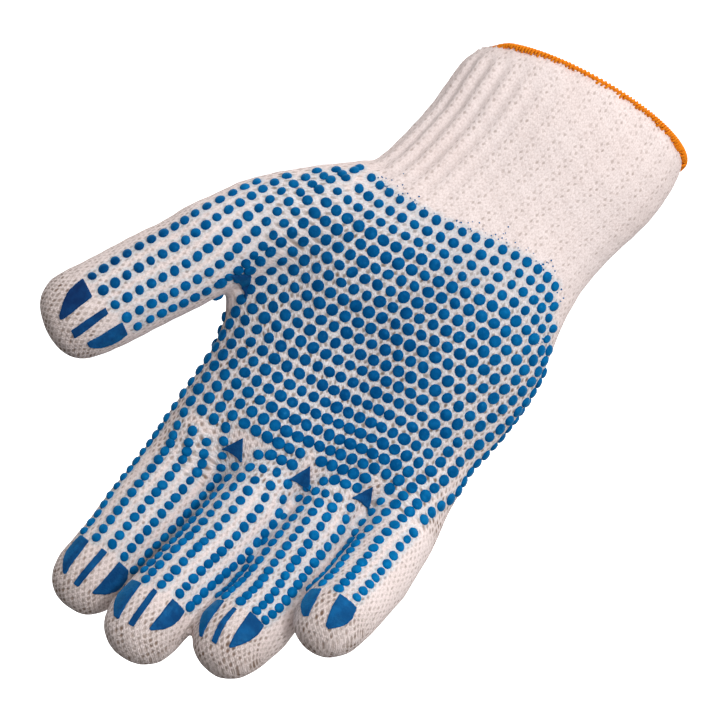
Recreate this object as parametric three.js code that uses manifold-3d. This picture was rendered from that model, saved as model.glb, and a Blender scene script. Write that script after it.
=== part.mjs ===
// Dotted knit glove, right hand, as worn: a seamless cotton knit with a PVC print on its palm side.
// Millimetres, +Z up. The cuff is up and the fingers hang down. The palm faces -Y and the thumb is
// at -X. The origin is the centre of the cuff's mouth.
import * as THREE from 'three';
import Module from 'manifold-3d';

const wasm = await Module();
wasm.setup();

// Driving dimensions
const WALL = 1.7;              // thickness of the knit
const GAP = 0.3;               // clearance between neighbouring pieces
const PRINT = 0.8;             // thickness of the printed PVC
const CUFF_END = -57;          // level where the cuff's tube meets the palm
const MOUTH_RISE = 6.4;        // how far the mouth's front stands above its sides
const MOUTH_DROP = 6.6;        // how far the mouth's thumb side falls
const MOUTH_HALF_DEPTH = 26;
const MOUTH_HALF_WIDTH = 40.3;
const EDGING_WIDTH = 2.9;      // overlocked edge, across the wall
const EDGING_HEIGHT = 2.6;
const EDGING_CLEARANCE = 0.48;  // under the edging, measured straight up
const DOME_SWEEP = 0.47 * Math.PI;   // how far a fingertip's rings go round its dome
const OUTSIDE = { trunkSides: 36, trunkRings: 23, tubeSides: 16, tubeRings: 9, domeRings: 5 };
const INSIDE = { trunkSides: 36, trunkRings: 17, tubeSides: 10, tubeRings: 6, domeRings: 3 };
const EDGING_STEPS = 36;
const EDGING_SIDES = 6;
const PRINT_STEPS = { along: 5, across: 3 };
const OPEN_ABOVE = 20;         // how far the hollow is cut past the mouth

const COTTON = { color: 0xece4e0, roughness: 0.95, metalness: 0 };
const ORANGE_YARN = { color: 0xf08a1e, roughness: 0.85, metalness: 0 };
const BLUE_PVC = { color: 0x0b5f9e, roughness: 0.45, metalness: 0 };

// Cuff and palm, one row a level from the mouth down. The ends stand on a line that slopes along X,
// round is the corner's exponent, cap says how much of an inset the end takes along Z.
const TRUNK = [
  { z: -2.4, left: -39.8, right: 39.6, front: -25.5, back: 24.5, round: 2.15, slope: 0, cap: 0 },
  { z: -14.0, left: -41.0, right: 40.9, front: -25.0, back: 24.0, round: 2.15, slope: 0, cap: 0 },
  { z: -26.0, left: -40.7, right: 39.3, front: -23.0, back: 22.5, round: 2.15, slope: 0, cap: 0 },
  { z: -36.0, left: -41.8, right: 36.7, front: -21.5, back: 21.0, round: 2.2, slope: 0, cap: 0 },
  { z: -46.0, left: -43.6, right: 34.9, front: -20.5, back: 20.0, round: 2.2, slope: 0, cap: 0 },
  { z: -57.0, left: -46.6, right: 34.7, front: -20.0, back: 19.5, round: 2.25, slope: 0, cap: 0 },
  { z: -68.0, left: -53.0, right: 35.6, front: -19.0, back: 19.5, round: 2.3, slope: 0, cap: 0 },
  { z: -80.0, left: -59.5, right: 38.6, front: -17.5, back: 19.5, round: 2.35, slope: 0, cap: 0 },
  { z: -93.0, left: -64.0, right: 40.4, front: -16.5, back: 19.5, round: 2.4, slope: 0, cap: 0 },
  { z: -106.0, left: -65.0, right: 40.1, front: -15.5, back: 19.3, round: 2.4, slope: 0, cap: 0 },
  { z: -116.0, left: -64.8, right: 38.9, front: -15.0, back: 19.0, round: 2.4, slope: 0, cap: 0 },
  { z: -122.0, left: -62.4, right: 38.2, front: -15.0, back: 18.8, round: 2.4, slope: 0, cap: 0 },
  { z: -129.0, left: -57.6, right: 37.6, front: -15.0, back: 18.3, round: 2.4, slope: 0.03, cap: 0 },
  { z: -138.0, left: -56.6, right: 37.4, front: -15.5, back: 17.5, round: 2.4, slope: 0.1, cap: 0 },
  { z: -149.0, left: -56.6, right: 38.0, front: -15.5, back: 15.5, round: 2.3, slope: 0.2, cap: 0.3 },
  { z: -157.0, left: -55.8, right: 38.4, front: -12.5, back: 11.5, round: 2.1, slope: 0.29, cap: 0.7 },
  { z: -162.5, left: -53.0, right: 36.0, front: -6.0, back: 5.0, round: 2.0, slope: 0.34, cap: 1 },
];

// Pads and hollows of the palm side and the knuckles of the back. Positive rise stands out.
const RELIEF = [
  { side: 'palm', x: -37, z: -84, rise: 6.5, wide: 15, tall: 15 },
  { side: 'palm', x: 19, z: -99, rise: 4.2, wide: 13, tall: 27 },
  { side: 'palm', x: -13, z: -116, rise: -3.6, wide: 9, tall: 20 },
  { side: 'palm', x: -2, z: -148, rise: -1.6, wide: 5, tall: 12 },
  { side: 'palm', x: -30, z: -146, rise: 1.8, wide: 15, tall: 9 },
  { side: 'palm', x: 20, z: -138, rise: 1.6, wide: 14, tall: 9 },
  { side: 'back', x: -42, z: -141, rise: 1.8, wide: 8, tall: 9 },
  { side: 'back', x: -17, z: -144, rise: 2.2, wide: 8, tall: 9 },
  { side: 'back', x: 7, z: -140, rise: 2.0, wide: 8, tall: 9 },
  { side: 'back', x: 28, z: -132, rise: 1.6, wide: 8, tall: 9 },
];

// One tube a finger: centre points, width across and depth from palm side to back, from inside the
// palm to the start of the rounded tip. turn twists the palm side toward the thumb, in degrees.
// seam is the place along the centre line, 0 to 1, where the tube is parted from the palm.
const TUBES = {
  thumb: {
    turn: 0, dome: 13.8, blunt: 2.35, seam: 0.655,
    rows: [
      { x: -30.0, y: 1.0, z: -62.0, width: 28.0, depth: 30.0 },
      { x: -41.0, y: -1.5, z: -72.0, width: 33.0, depth: 31.5 },
      { x: -51.2, y: -4.0, z: -82.0, width: 34.5, depth: 31.0 },
      { x: -62.0, y: -5.5, z: -92.2, width: 34.0, depth: 29.5 },
      { x: -71.3, y: -6.5, z: -103.3, width: 32.4, depth: 28.0 },
      { x: -78.5, y: -7.5, z: -116.9, width: 31.0, depth: 27.0 },
      { x: -85.4, y: -8.5, z: -129.3, width: 31.0, depth: 26.5 },
      { x: -91.6, y: -10.0, z: -141.0, width: 30.8, depth: 26.0 },
      { x: -97.6, y: -11.5, z: -151.6, width: 30.4, depth: 25.0 },
    ],
  },
  index_finger: {
    turn: 4, dome: 13.4, blunt: 2.2, seam: 0.46,
    rows: [
      { x: -41.0, y: 1.5, z: -140.0, width: 27.0, depth: 25.0 },
      { x: -42.4, y: 0.5, z: -157.0, width: 28.4, depth: 26.0 },
      { x: -42.4, y: 1.0, z: -172.0, width: 28.6, depth: 25.5 },
      { x: -43.4, y: -1.5, z: -186.7, width: 28.0, depth: 25.0 },
      { x: -44.7, y: -4.5, z: -197.4, width: 27.2, depth: 24.5 },
      { x: -45.9, y: -7.5, z: -208.0, width: 25.6, depth: 24.0 },
      { x: -47.4, y: -10.5, z: -221.6, width: 25.2, depth: 23.0 },
    ],
  },
  middle_finger: {
    turn: 20, dome: 14.6, blunt: 2.3, seam: 0.41,
    rows: [
      { x: -15.5, y: 1.0, z: -138.0, width: 24.0, depth: 25.0 },
      { x: -15.7, y: -0.5, z: -154.0, width: 24.0, depth: 26.0 },
      { x: -16.3, y: -5.5, z: -168.0, width: 24.0, depth: 26.0 },
      { x: -17.4, y: -11.0, z: -184.0, width: 24.6, depth: 25.5 },
      { x: -19.1, y: -15.5, z: -196.6, width: 25.0, depth: 25.5 },
      { x: -21.2, y: -20.5, z: -207.6, width: 25.4, depth: 25.0 },
      { x: -23.4, y: -26.0, z: -221.6, width: 26.8, depth: 24.5 },
    ],
  },
  ring_finger: {
    turn: 28, dome: 14.2, blunt: 2.3, seam: 0.42,
    rows: [
      { x: 7.2, y: 0.5, z: -134.0, width: 23.0, depth: 25.0 },
      { x: 7.4, y: -2.0, z: -148.0, width: 22.6, depth: 26.0 },
      { x: 7.2, y: -7.5, z: -162.0, width: 22.6, depth: 25.5 },
      { x: 6.7, y: -13.5, z: -175.0, width: 23.2, depth: 25.0 },
      { x: 5.9, y: -19.5, z: -187.0, width: 24.8, depth: 24.5 },
      { x: 5.5, y: -25.8, z: -198.5, width: 26.4, depth: 24.0 },
      { x: 2.8, y: -31.8, z: -209.5, width: 26.2, depth: 23.5 },
    ],
  },
  little_finger: {
    turn: 28, dome: 13.6, blunt: 2.2, seam: 0.45,
    rows: [
      { x: 27.0, y: -0.5, z: -128.0, width: 22.0, depth: 24.0 },
      { x: 27.6, y: -4.0, z: -142.0, width: 23.0, depth: 25.0 },
      { x: 28.8, y: -12.0, z: -155.0, width: 24.2, depth: 24.0 },
      { x: 29.0, y: -21.0, z: -166.0, width: 24.4, depth: 23.5 },
      { x: 27.6, y: -30.0, z: -176.6, width: 24.0, depth: 23.0 },
      { x: 25.2, y: -39.5, z: -186.4, width: 24.4, depth: 22.5 },
    ],
  },
};

// Prints on the fingertips, one row a level: distance back from the end of the tip in mm, and the
// print's two edges as degrees round the tube, 0 at the palm side and positive toward +X
const TIP_PRINTS = {
  thumb: {
    left: [
      { back: 18.0, from: -34, to: -6 }, { back: 14.0, from: -31, to: -3 },
      { back: 10.5, from: -24, to: 0 }, { back: 7.5, from: -12, to: 3 }, { back: 5.6, from: -3, to: 2 },
    ],
    bar: [{ back: 20.0, from: 12, to: 21 }, { back: 13.0, from: 15, to: 27 }, { back: 7.0, from: 20, to: 33 }],
    right: [
      { back: 23.0, from: 38, to: 60 }, { back: 19.0, from: 40, to: 67 },
      { back: 15.0, from: 42, to: 66 }, { back: 12.0, from: 43, to: 60 }, { back: 9.8, from: 44, to: 52 },
    ],
  },
  index_finger: {
    left: [
      { back: 20.2, from: -54, to: -31 }, { back: 14.0, from: -58, to: -29 },
      { back: 10.0, from: -47, to: -28 }, { back: 7.0, from: -33, to: -28 },
    ],
    bar: [{ back: 21.0, from: -8, to: 3 }, { back: 6.5, from: -8, to: 3 }],
    right: [
      { back: 21.2, from: 24, to: 45 }, { back: 18.5, from: 24, to: 58 },
      { back: 14.5, from: 24, to: 58 }, { back: 11.0, from: 24, to: 47 }, { back: 8.0, from: 24, to: 28 },
    ],
  },
  middle_finger: {
    left: [
      { back: 20.0, from: -50, to: -25 }, { back: 14.0, from: -54, to: -21 },
      { back: 9.5, from: -42, to: -18 }, { back: 6.3, from: -27, to: -17 },
    ],
    bar: [{ back: 20.5, from: -5, to: 4 }, { back: 13.6, from: -2, to: 8 }, { back: 7.0, from: 1, to: 11 }],
    right: [
      { back: 21.8, from: 25, to: 52 }, { back: 18.0, from: 26, to: 55 },
      { back: 14.0, from: 27, to: 50 }, { back: 11.5, from: 28, to: 40 }, { back: 9.7, from: 29, to: 33 },
    ],
  },
  ring_finger: {
    left: [
      { back: 17.0, from: -50, to: -26 }, { back: 12.0, from: -52, to: -22 },
      { back: 7.0, from: -40, to: -20 }, { back: 3.6, from: -27, to: -20 },
    ],
    bar: [{ back: 16.5, from: -6, to: 1 }, { back: 9.5, from: -4, to: 6 }, { back: 4.0, from: 4, to: 15 }],
    right: [
      { back: 18.8, from: 16, to: 45 }, { back: 14.8, from: 19, to: 50 },
      { back: 10.0, from: 24, to: 46 }, { back: 7.5, from: 29, to: 40 }, { back: 6.0, from: 32, to: 37 },
    ],
  },
  little_finger: {
    left: [
      { back: 13.0, from: -40, to: -19 }, { back: 8.5, from: -46, to: -15 },
      { back: 5.0, from: -42, to: -16 }, { back: 3.0, from: -32, to: -18 },
    ],
    right: [
      { back: 13.6, from: 10, to: 44 }, { back: 9.0, from: 13, to: 53 },
      { back: 6.0, from: 17, to: 52 }, { back: 3.8, from: 24, to: 44 }, { back: 2.8, from: 29, to: 38 },
    ],
  },
};

// Printed triangles above the crotches: the apex, the base's two corners, and the point that the
// hollow base bends toward, seen from the palm side
const CROTCH_PRINTS = {
  thumb: {
    apex: { x: -58.9, z: -110.6 }, start: { x: -65.2, z: -115.4 }, end: { x: -55.8, z: -118.6 },
    bend: { x: -59.8, z: -114.0 },
  },
  index: {
    apex: { x: -31.3, z: -156.4 }, start: { x: -35.4, z: -164.0 }, end: { x: -26.8, z: -164.0 },
    bend: { x: -31.2, z: -161.8 },
  },
  middle: {
    apex: { x: -7.9, z: -151.6 }, start: { x: -11.3, z: -159.6 }, end: { x: -3.3, z: -158.9 },
    bend: { x: -7.4, z: -158.4 },
  },
  ring: {
    apex: { x: 12.9, z: -145.8 }, start: { x: 8.9, z: -153.0 }, end: { x: 17.0, z: -153.9 },
    bend: { x: 12.8, z: -151.6 },
  },
};

// Value of one column at a place along a table, smooth through its rows
function along(rows, key, place) {
  const first = Math.min(Math.floor(place), rows.length - 2);
  const t = place - first;
  const at = (i) => rows[THREE.MathUtils.clamp(i, 0, rows.length - 1)][key];
  const [a, b, c, d] = [at(first - 1), at(first), at(first + 1), at(first + 2)];
  const bend = 2 * a - 5 * b + 4 * c - d;
  const twist = 3 * b - a - 3 * c + d;
  return b + 0.5 * t * (c - a + t * (bend + t * twist));
}

// Ring of points joined to the next ring, closed by a fan at each end
function loft(rings) {
  const sides = rings[0].length;
  const points = rings.flat();
  const faces = [];
  const centres = [rings[0], rings.at(-1)].map((ring) => {
    const centre = ring.reduce((sum, p) => sum.add(p), new THREE.Vector3());
    points.push(centre.divideScalar(sides));
    return points.length - 1;
  });
  const last = (rings.length - 1) * sides;
  for (let k = 0; k < sides; k += 1) {
    const next = (k + 1) % sides;
    for (let row = 0; row < last; row += sides) {
      faces.push([row + k, row + sides + k, row + sides + next]);
      faces.push([row + k, row + sides + next, row + next]);
    }
    faces.push([centres[0], k, next]);
    faces.push([centres[1], last + next, last + k]);
  }
  return solid(points, faces);
}

// Closed body from points and triangles, turned inside out if its volume comes out negative
function solid(points, faces) {
  const volume = faces.reduce((sum, [a, b, c]) => (
    sum + points[a].dot(new THREE.Vector3().crossVectors(points[b], points[c]))), 0);
  const corners = volume < 0 ? faces.map(([a, b, c]) => [a, c, b]) : faces;
  return new wasm.Manifold(new wasm.Mesh({
    numProp: 3,
    vertProperties: new Float32Array(points.flatMap((p) => p.toArray())),
    triVerts: new Uint32Array(corners.flat()),
  }));
}

// Height that the palm's pads or the knuckles add at a point of the cuff and palm
function reliefAt(side, x, z) {
  return RELIEF.filter((pad) => pad.side === side).reduce((sum, pad) => {
    const reach = ((x - pad.x) / pad.wide) ** 2 + ((z - pad.z) / pad.tall) ** 2;
    return sum + pad.rise * Math.exp(-reach / 2);
  }, 0);
}

// Height of the cuff's mouth over its nominal level: front lip up, back lip and thumb side down
function mouthHeight(x, y) {
  return -MOUTH_RISE * (y / MOUTH_HALF_DEPTH) - MOUTH_DROP * (0.5 - 0.5 * x / MOUTH_HALF_WIDTH) ** 2;
}

// Point of the cuff and palm at a table place and an angle, moved out by offset
function trunkPoint(place, angle, offset) {
  const row = Object.fromEntries(Object.keys(TRUNK[0]).map((key) => [key, along(TRUNK, key, place)]));
  const power = 2 / row.round;
  const [c, s] = [Math.cos(angle), Math.sin(angle)];
  const half = (row.right - row.left) / 2 + offset;
  const x = (row.left + row.right) / 2 + half * Math.sign(c) * Math.abs(c) ** power;
  const depth = (s < 0 ? row.front : row.back) + Math.sign(s) * offset;
  const flat = depth * Math.abs(s) ** power;
  const mouth = Math.max(0, 1 - place) * mouthHeight(x, flat);
  const z = row.z + row.slope * x - offset * row.cap + mouth;
  const thin = THREE.MathUtils.clamp(1 - row.cap, 0, 1) * s ** 2;
  const relief = thin * (s < 0 ? -reliefAt('palm', x, z) : reliefAt('back', x, z));
  return new THREE.Vector3(x, flat + relief, z);
}

// Cuff and palm as one closed body
function trunk(offset, detail) {
  const rings = [];
  for (let i = 0; i < detail.trunkRings; i += 1) {
    const place = (i / (detail.trunkRings - 1)) * (TRUNK.length - 1);
    const ring = [];
    for (let k = 0; k < detail.trunkSides; k += 1) {
      ring.push(trunkPoint(place, (2 * Math.PI * k) / detail.trunkSides, offset));
    }
    rings.push(ring);
  }
  if (offset < 0) {
    rings.unshift(rings[0].map((p) => p.clone().add(new THREE.Vector3(0, 0, OPEN_ABOVE))));
  }
  return loft(rings);
}

// Centre, direction and side and palm axes of a tube at a place along its table
function tubeFrame(tube, place) {
  const centre = (t) => new THREE.Vector3(...['x', 'y', 'z'].map((key) => along(tube.rows, key, t)));
  const end = tube.rows.length - 1;
  const step = 0.05;
  const [low, high] = [Math.max(0, place - step), Math.min(end, place + step)];
  const forward = centre(high).sub(centre(low)).normalize();
  const across = new THREE.Vector3(1, 0, 0).addScaledVector(forward, -forward.x).normalize();
  const palm = new THREE.Vector3().crossVectors(forward, across);
  if (palm.y > 0) palm.negate();
  const turn = THREE.MathUtils.degToRad(tube.turn);
  const facing = palm.clone().multiplyScalar(Math.cos(turn)).addScaledVector(across, -Math.sin(turn));
  const side = across.multiplyScalar(Math.cos(turn)).addScaledVector(palm, Math.sin(turn));
  return { centre: centre(place), forward, side, facing };
}

// Point of a tube's wall: place along its table, up to its last row and then round the dome, where
// each 1 more is the whole dome; angle from the palm side toward +X; moved out by offset
function tubePoint(tube, place, angle, offset) {
  const end = tube.rows.length - 1;
  const held = Math.min(place, end);
  const frame = tubeFrame(tube, held);
  const rise = Math.min(Math.max(place - end, 0), 1);
  const shrink = (1 - rise ** tube.blunt) ** (1 / tube.blunt);
  const wide = (along(tube.rows, 'width', held) / 2 + offset) * shrink;
  const deep = (along(tube.rows, 'depth', held) / 2 + offset) * shrink;
  return frame.centre
    .addScaledVector(frame.forward, rise * (tube.dome + offset))
    .addScaledVector(frame.side, wide * Math.sin(angle))
    .addScaledVector(frame.facing, deep * Math.cos(angle));
}

// One finger or the thumb as a closed body
function finger(tube, offset, detail) {
  const end = tube.rows.length - 1;
  const places = [];
  for (let i = 0; i <= detail.tubeRings; i += 1) places.push((end * i) / detail.tubeRings);
  for (let i = 1; i <= detail.domeRings; i += 1) {
    places.push(end + Math.sin((DOME_SWEEP * i) / detail.domeRings));
  }
  const sides = detail.tubeSides;
  const angles = Array.from({ length: sides }, (unused, k) => (2 * Math.PI * k) / sides);
  return loft(places.map((place) => angles.map((angle) => tubePoint(tube, place, angle, offset))));
}

// Whole glove as one solid, moved out by offset
function form(offset, detail) {
  return Object.values(TUBES).reduce((body, tube) => body.add(finger(tube, offset, detail)),
    trunk(offset, detail));
}

// Place along a tube's table that lies a distance back from the end of its tip
function placeFromTip(tube, back) {
  const end = tube.rows.length - 1;
  if (back < tube.dome) return end + 1 - back / tube.dome;
  let [place, gone] = [end, tube.dome];
  const step = 0.02;
  while (gone < back && place > step) {
    const [here, there] = [tubeFrame(tube, place).centre, tubeFrame(tube, place - step).centre];
    gone += here.distanceTo(there);
    place -= step;
  }
  return place;
}

// Print on a fingertip: a thin tile between its two edges, clear of the knit
function tipPrint(tube, rows) {
  const { along: levels, across } = PRINT_STEPS;
  const grid = [GAP, GAP + PRINT].map((offset) => {
    const points = [];
    for (let i = 0; i <= levels; i += 1) {
      const at = (i / levels) * (rows.length - 1);
      const low = Math.min(Math.floor(at), rows.length - 2);
      const value = (key) => THREE.MathUtils.lerp(rows[low][key], rows[low + 1][key], at - low);
      const place = placeFromTip(tube, value('back'));
      for (let k = 0; k <= across; k += 1) {
        const degrees = THREE.MathUtils.lerp(value('from'), value('to'), k / across);
        points.push(tubePoint(tube, place, THREE.MathUtils.degToRad(degrees), offset));
      }
    }
    return points;
  });
  return tile(grid[0], grid[1], levels, across);
}

// Closed tile from two grids of points, one above the other
function tile(under, over, levels, across) {
  const width = across + 1;
  const count = under.length;
  const faces = [];
  const quad = (a, b, c, d) => faces.push([a, b, c], [a, c, d]);
  for (let i = 0; i < levels; i += 1) {
    for (let k = 0; k < across; k += 1) {
      const at = i * width + k;
      quad(at, at + 1, at + width + 1, at + width);
      quad(count + at, count + at + width, count + at + width + 1, count + at + 1);
    }
  }
  const edge = (a, b) => quad(a, count + a, count + b, b);
  for (let k = 0; k < across; k += 1) {
    edge(k, k + 1);
    edge(levels * width + k + 1, levels * width + k);
  }
  for (let i = 0; i < levels; i += 1) {
    edge((i + 1) * width, i * width);
    edge(i * width + across, (i + 1) * width + across);
  }
  return solid([...under, ...over], faces);
}

// Triangle prism toward the palm side, its base hollowed by a curve
function crotchPrism({ apex, start, end, bend }) {
  const reach = 60;
  const curveSteps = 4;
  const shape = new THREE.Shape();
  shape.moveTo(start.x, start.z);
  shape.lineTo(apex.x, apex.z);
  shape.lineTo(end.x, end.z);
  shape.quadraticCurveTo(bend.x, bend.z, start.x, start.z);
  const prism = new THREE.ExtrudeGeometry(shape,
    { depth: reach, bevelEnabled: false, curveSegments: curveSteps });
  prism.rotateX(Math.PI / 2);
  return fromGeometry(prism.index ? prism.toNonIndexed() : prism);
}

// Large block whose one face is a plane through point, on the side that forward points to
function beyond(point, forward) {
  const size = 300;
  const block = new THREE.BoxGeometry(size, size, size).toNonIndexed();
  const turn = new THREE.Quaternion().setFromUnitVectors(new THREE.Vector3(0, 0, 1), forward);
  const middle = point.clone().addScaledVector(forward, size / 2);
  block.applyQuaternion(turn).translate(middle.x, middle.y, middle.z);
  return fromGeometry(block);
}

// Body from a three.js geometry of separate triangles, its shared corners joined
function fromGeometry(geometry) {
  const seen = new Map();
  const points = [];
  const corners = [];
  const position = geometry.getAttribute('position');
  for (let i = 0; i < position.count; i += 1) {
    const point = new THREE.Vector3().fromBufferAttribute(position, i);
    const key = point.toArray().map((value) => value.toFixed(4)).join();
    if (!seen.has(key)) {
      seen.set(key, points.length);
      points.push(point);
    }
    corners.push(seen.get(key));
  }
  const faces = [];
  for (let i = 0; i < corners.length; i += 3) faces.push(corners.slice(i, i + 3));
  return solid(points, faces);
}

// Orange overlocked edge: a rounded bead that follows the mouth's rim
function edging() {
  const rings = [];
  for (let i = 0; i < EDGING_STEPS; i += 1) {
    const angle = (2 * Math.PI * i) / EDGING_STEPS;
    const outer = trunkPoint(0, angle, 0);
    const inner = trunkPoint(0, angle, -WALL);
    const middle = outer.clone().add(inner).divideScalar(2);
    const out = outer.clone().sub(inner).setZ(0).normalize();
    const base = Math.max(outer.z, inner.z) + EDGING_CLEARANCE;
    const ring = [];
    for (let k = 0; k < EDGING_SIDES; k += 1) {
      const turn = (2 * Math.PI * (k + 0.5)) / EDGING_SIDES;
      const reach = EDGING_WIDTH / 2 / Math.cos(Math.PI / EDGING_SIDES);
      const lift = EDGING_HEIGHT / 2 / Math.cos(Math.PI / EDGING_SIDES);
      const point = middle.clone().addScaledVector(out, reach * Math.cos(turn));
      ring.push(point.setZ(base + EDGING_HEIGHT / 2 + lift * Math.sin(turn)));
    }
    rings.push(ring);
  }
  const faces = [];
  for (let i = 0; i < EDGING_STEPS; i += 1) {
    const [here, there] = [i * EDGING_SIDES, ((i + 1) % EDGING_STEPS) * EDGING_SIDES];
    for (let k = 0; k < EDGING_SIDES; k += 1) {
      const next = (k + 1) % EDGING_SIDES;
      faces.push([here + k, here + next, there + next]);
      faces.push([here + k, there + next, there + k]);
    }
  }
  return solid(rings.flat(), faces);
}

// Parts the knit's shell into its tubes, with a gap at each seam
function knitPieces() {
  const shell = form(0, OUTSIDE).subtract(form(-WALL, INSIDE));
  const pieces = {};
  let palm = shell;
  for (const [name, tube] of Object.entries(TUBES)) {
    const seam = tubeFrame(tube, tube.seam * (tube.rows.length - 1));
    const sleeve = finger(tube, 2 * GAP, OUTSIDE);
    pieces[name] = shell.intersect(sleeve.intersect(beyond(seam.centre, seam.forward)));
    const start = seam.centre.clone().addScaledVector(seam.forward, -GAP);
    palm = palm.subtract(sleeve.intersect(beyond(start, seam.forward)));
  }
  const up = new THREE.Vector3(0, 0, 1);
  pieces.cuff = palm.intersect(beyond(new THREE.Vector3(0, 0, CUFF_END + GAP), up));
  pieces.palm = palm.subtract(beyond(new THREE.Vector3(0, 0, CUFF_END), up));
  return pieces;
}

// Prints above the crotches, cut from a thin skin over the knit
function crotchPrints() {
  const skin = form(GAP + PRINT, OUTSIDE).subtract(form(GAP, OUTSIDE));
  return Object.entries(CROTCH_PRINTS).map(([name, corners]) => (
    [`${name}_crotch_print`, skin.intersect(crotchPrism(corners))]));
}

// Largest body of a solid, which leaves out the specks that a cut can shed
function mainBody(body) {
  return body.decompose().reduce((best, part) => (part.volume() > best.volume() ? part : best));
}

// Named mesh with its own material
function mesh(name, body, look) {
  const { vertProperties, triVerts } = mainBody(body).getMesh();
  const geometry = new THREE.BufferGeometry();
  geometry.setAttribute('position', new THREE.BufferAttribute(vertProperties, 3));
  geometry.setIndex(new THREE.BufferAttribute(triVerts, 1));
  geometry.computeVertexNormals();
  const piece = new THREE.Mesh(geometry, new THREE.MeshStandardMaterial(look));
  piece.name = name;
  return piece;
}

const glove = new THREE.Group();
for (const [name, body] of Object.entries(knitPieces())) glove.add(mesh(name, body, COTTON));
glove.add(mesh('cuff_edging', edging(), ORANGE_YARN));
for (const [name, body] of crotchPrints()) glove.add(mesh(name, body, BLUE_PVC));
for (const [name, prints] of Object.entries(TIP_PRINTS)) {
  for (const [place, rows] of Object.entries(prints)) {
    glove.add(mesh(`${name}_print_${place}`, tipPrint(TUBES[name], rows), BLUE_PVC));
  }
}

export default glove;
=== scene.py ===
"""Dotted knit glove, right hand, in its worn shape: cotton knit, printed palm side, overlocked cuff.

Lengths in the tables are in millimetres and in the glove's own frame: the cuff is up, the fingers
hang down, the palm side faces -Y and the thumb is at -X.
"""
import logging
import math
import random
from dataclasses import dataclass, field
from enum import Enum

import bmesh
import bpy
import numpy as np
from mathutils import Matrix, Vector
from mathutils.bvhtree import BVHTree
from mathutils.kdtree import KDTree


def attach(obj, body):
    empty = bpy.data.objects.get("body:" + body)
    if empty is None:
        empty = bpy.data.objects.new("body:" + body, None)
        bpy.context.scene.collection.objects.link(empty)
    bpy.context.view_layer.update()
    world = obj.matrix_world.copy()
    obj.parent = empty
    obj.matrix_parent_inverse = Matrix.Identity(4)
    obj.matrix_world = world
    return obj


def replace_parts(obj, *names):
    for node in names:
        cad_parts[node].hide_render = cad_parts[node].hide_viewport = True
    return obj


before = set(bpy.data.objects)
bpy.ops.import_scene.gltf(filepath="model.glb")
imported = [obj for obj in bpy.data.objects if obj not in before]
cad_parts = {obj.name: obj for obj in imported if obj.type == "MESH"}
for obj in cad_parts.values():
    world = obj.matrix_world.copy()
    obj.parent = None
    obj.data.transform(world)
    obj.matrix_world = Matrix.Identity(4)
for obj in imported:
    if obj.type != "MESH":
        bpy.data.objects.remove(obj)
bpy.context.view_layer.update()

LOG = logging.getLogger("glove")
MM = 0.001
BODY = "root"
TAU = 2 * math.pi
NUDGE = 0.01                    # radians to each side of a place where an outline's direction is taken
WELD = 0.001 * MM               # vertices of the CAD solids nearer than this are one
WHITE = (1.0, 1.0, 1.0)
BLACK = (0.0, 0.0, 0.0)
RELAX = 0.5                     # how far one round of smoothing moves a vertex toward its neighbours


class Slot(Enum):
    """Material slots of the record."""

    COTTON = "cotton_knit"
    YARN = "orange_yarn"
    PVC = "blue_pvc"


# Cuff and palm sections: level, then the outline's left, right, palm side, back and corner exponent
SECTIONS = np.array([
    (-2.4, -39.8, 39.6, -25.5, 24.5, 2.15), (-14.0, -41.0, 40.9, -25.0, 24.0, 2.15),
    (-26.0, -40.7, 39.3, -23.0, 22.5, 2.15), (-36.0, -41.8, 36.7, -21.5, 21.0, 2.2),
    (-46.0, -43.6, 34.9, -20.5, 20.0, 2.2), (-57.0, -46.6, 34.7, -20.0, 19.5, 2.25),
    (-68.0, -53.0, 35.6, -19.0, 19.5, 2.3), (-80.0, -59.5, 38.6, -17.5, 19.5, 2.35),
    (-93.0, -64.0, 40.4, -16.5, 19.5, 2.4), (-106.0, -65.0, 40.1, -15.5, 19.3, 2.4),
    (-116.0, -64.8, 38.9, -15.0, 19.0, 2.4), (-122.0, -62.4, 38.2, -15.0, 18.8, 2.4),
    (-129.0, -57.6, 37.6, -15.0, 18.3, 2.4), (-138.0, -56.6, 37.4, -15.5, 17.5, 2.4),
    (-149.0, -56.6, 38.0, -15.5, 15.5, 2.3),
])


# Cuff's mouth: level, rise toward the palm side, drop toward the thumb, half width and half depth
MOUTH = (-2.4, 6.4, 6.6, 40.3, 26.0)


@dataclass(frozen=True)
class Tube:
    """Centre line of one finger or the thumb, from inside the palm to where its tip rounds off.

    Attributes:
        name: CAD node of the tube.
        rows: x, y, z of a centre point, width across and depth, in millimetres.
        turn: how far the palm side is twisted toward the thumb, in degrees.
        dome: length of the rounded tip.
        seam: place of the tube's root along its rows, 0 to 1.
        wales: knit wales round the tube.
    """

    name: str
    rows: tuple[tuple[float, ...], ...]
    turn: float
    dome: float
    seam: float
    wales: int


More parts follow.
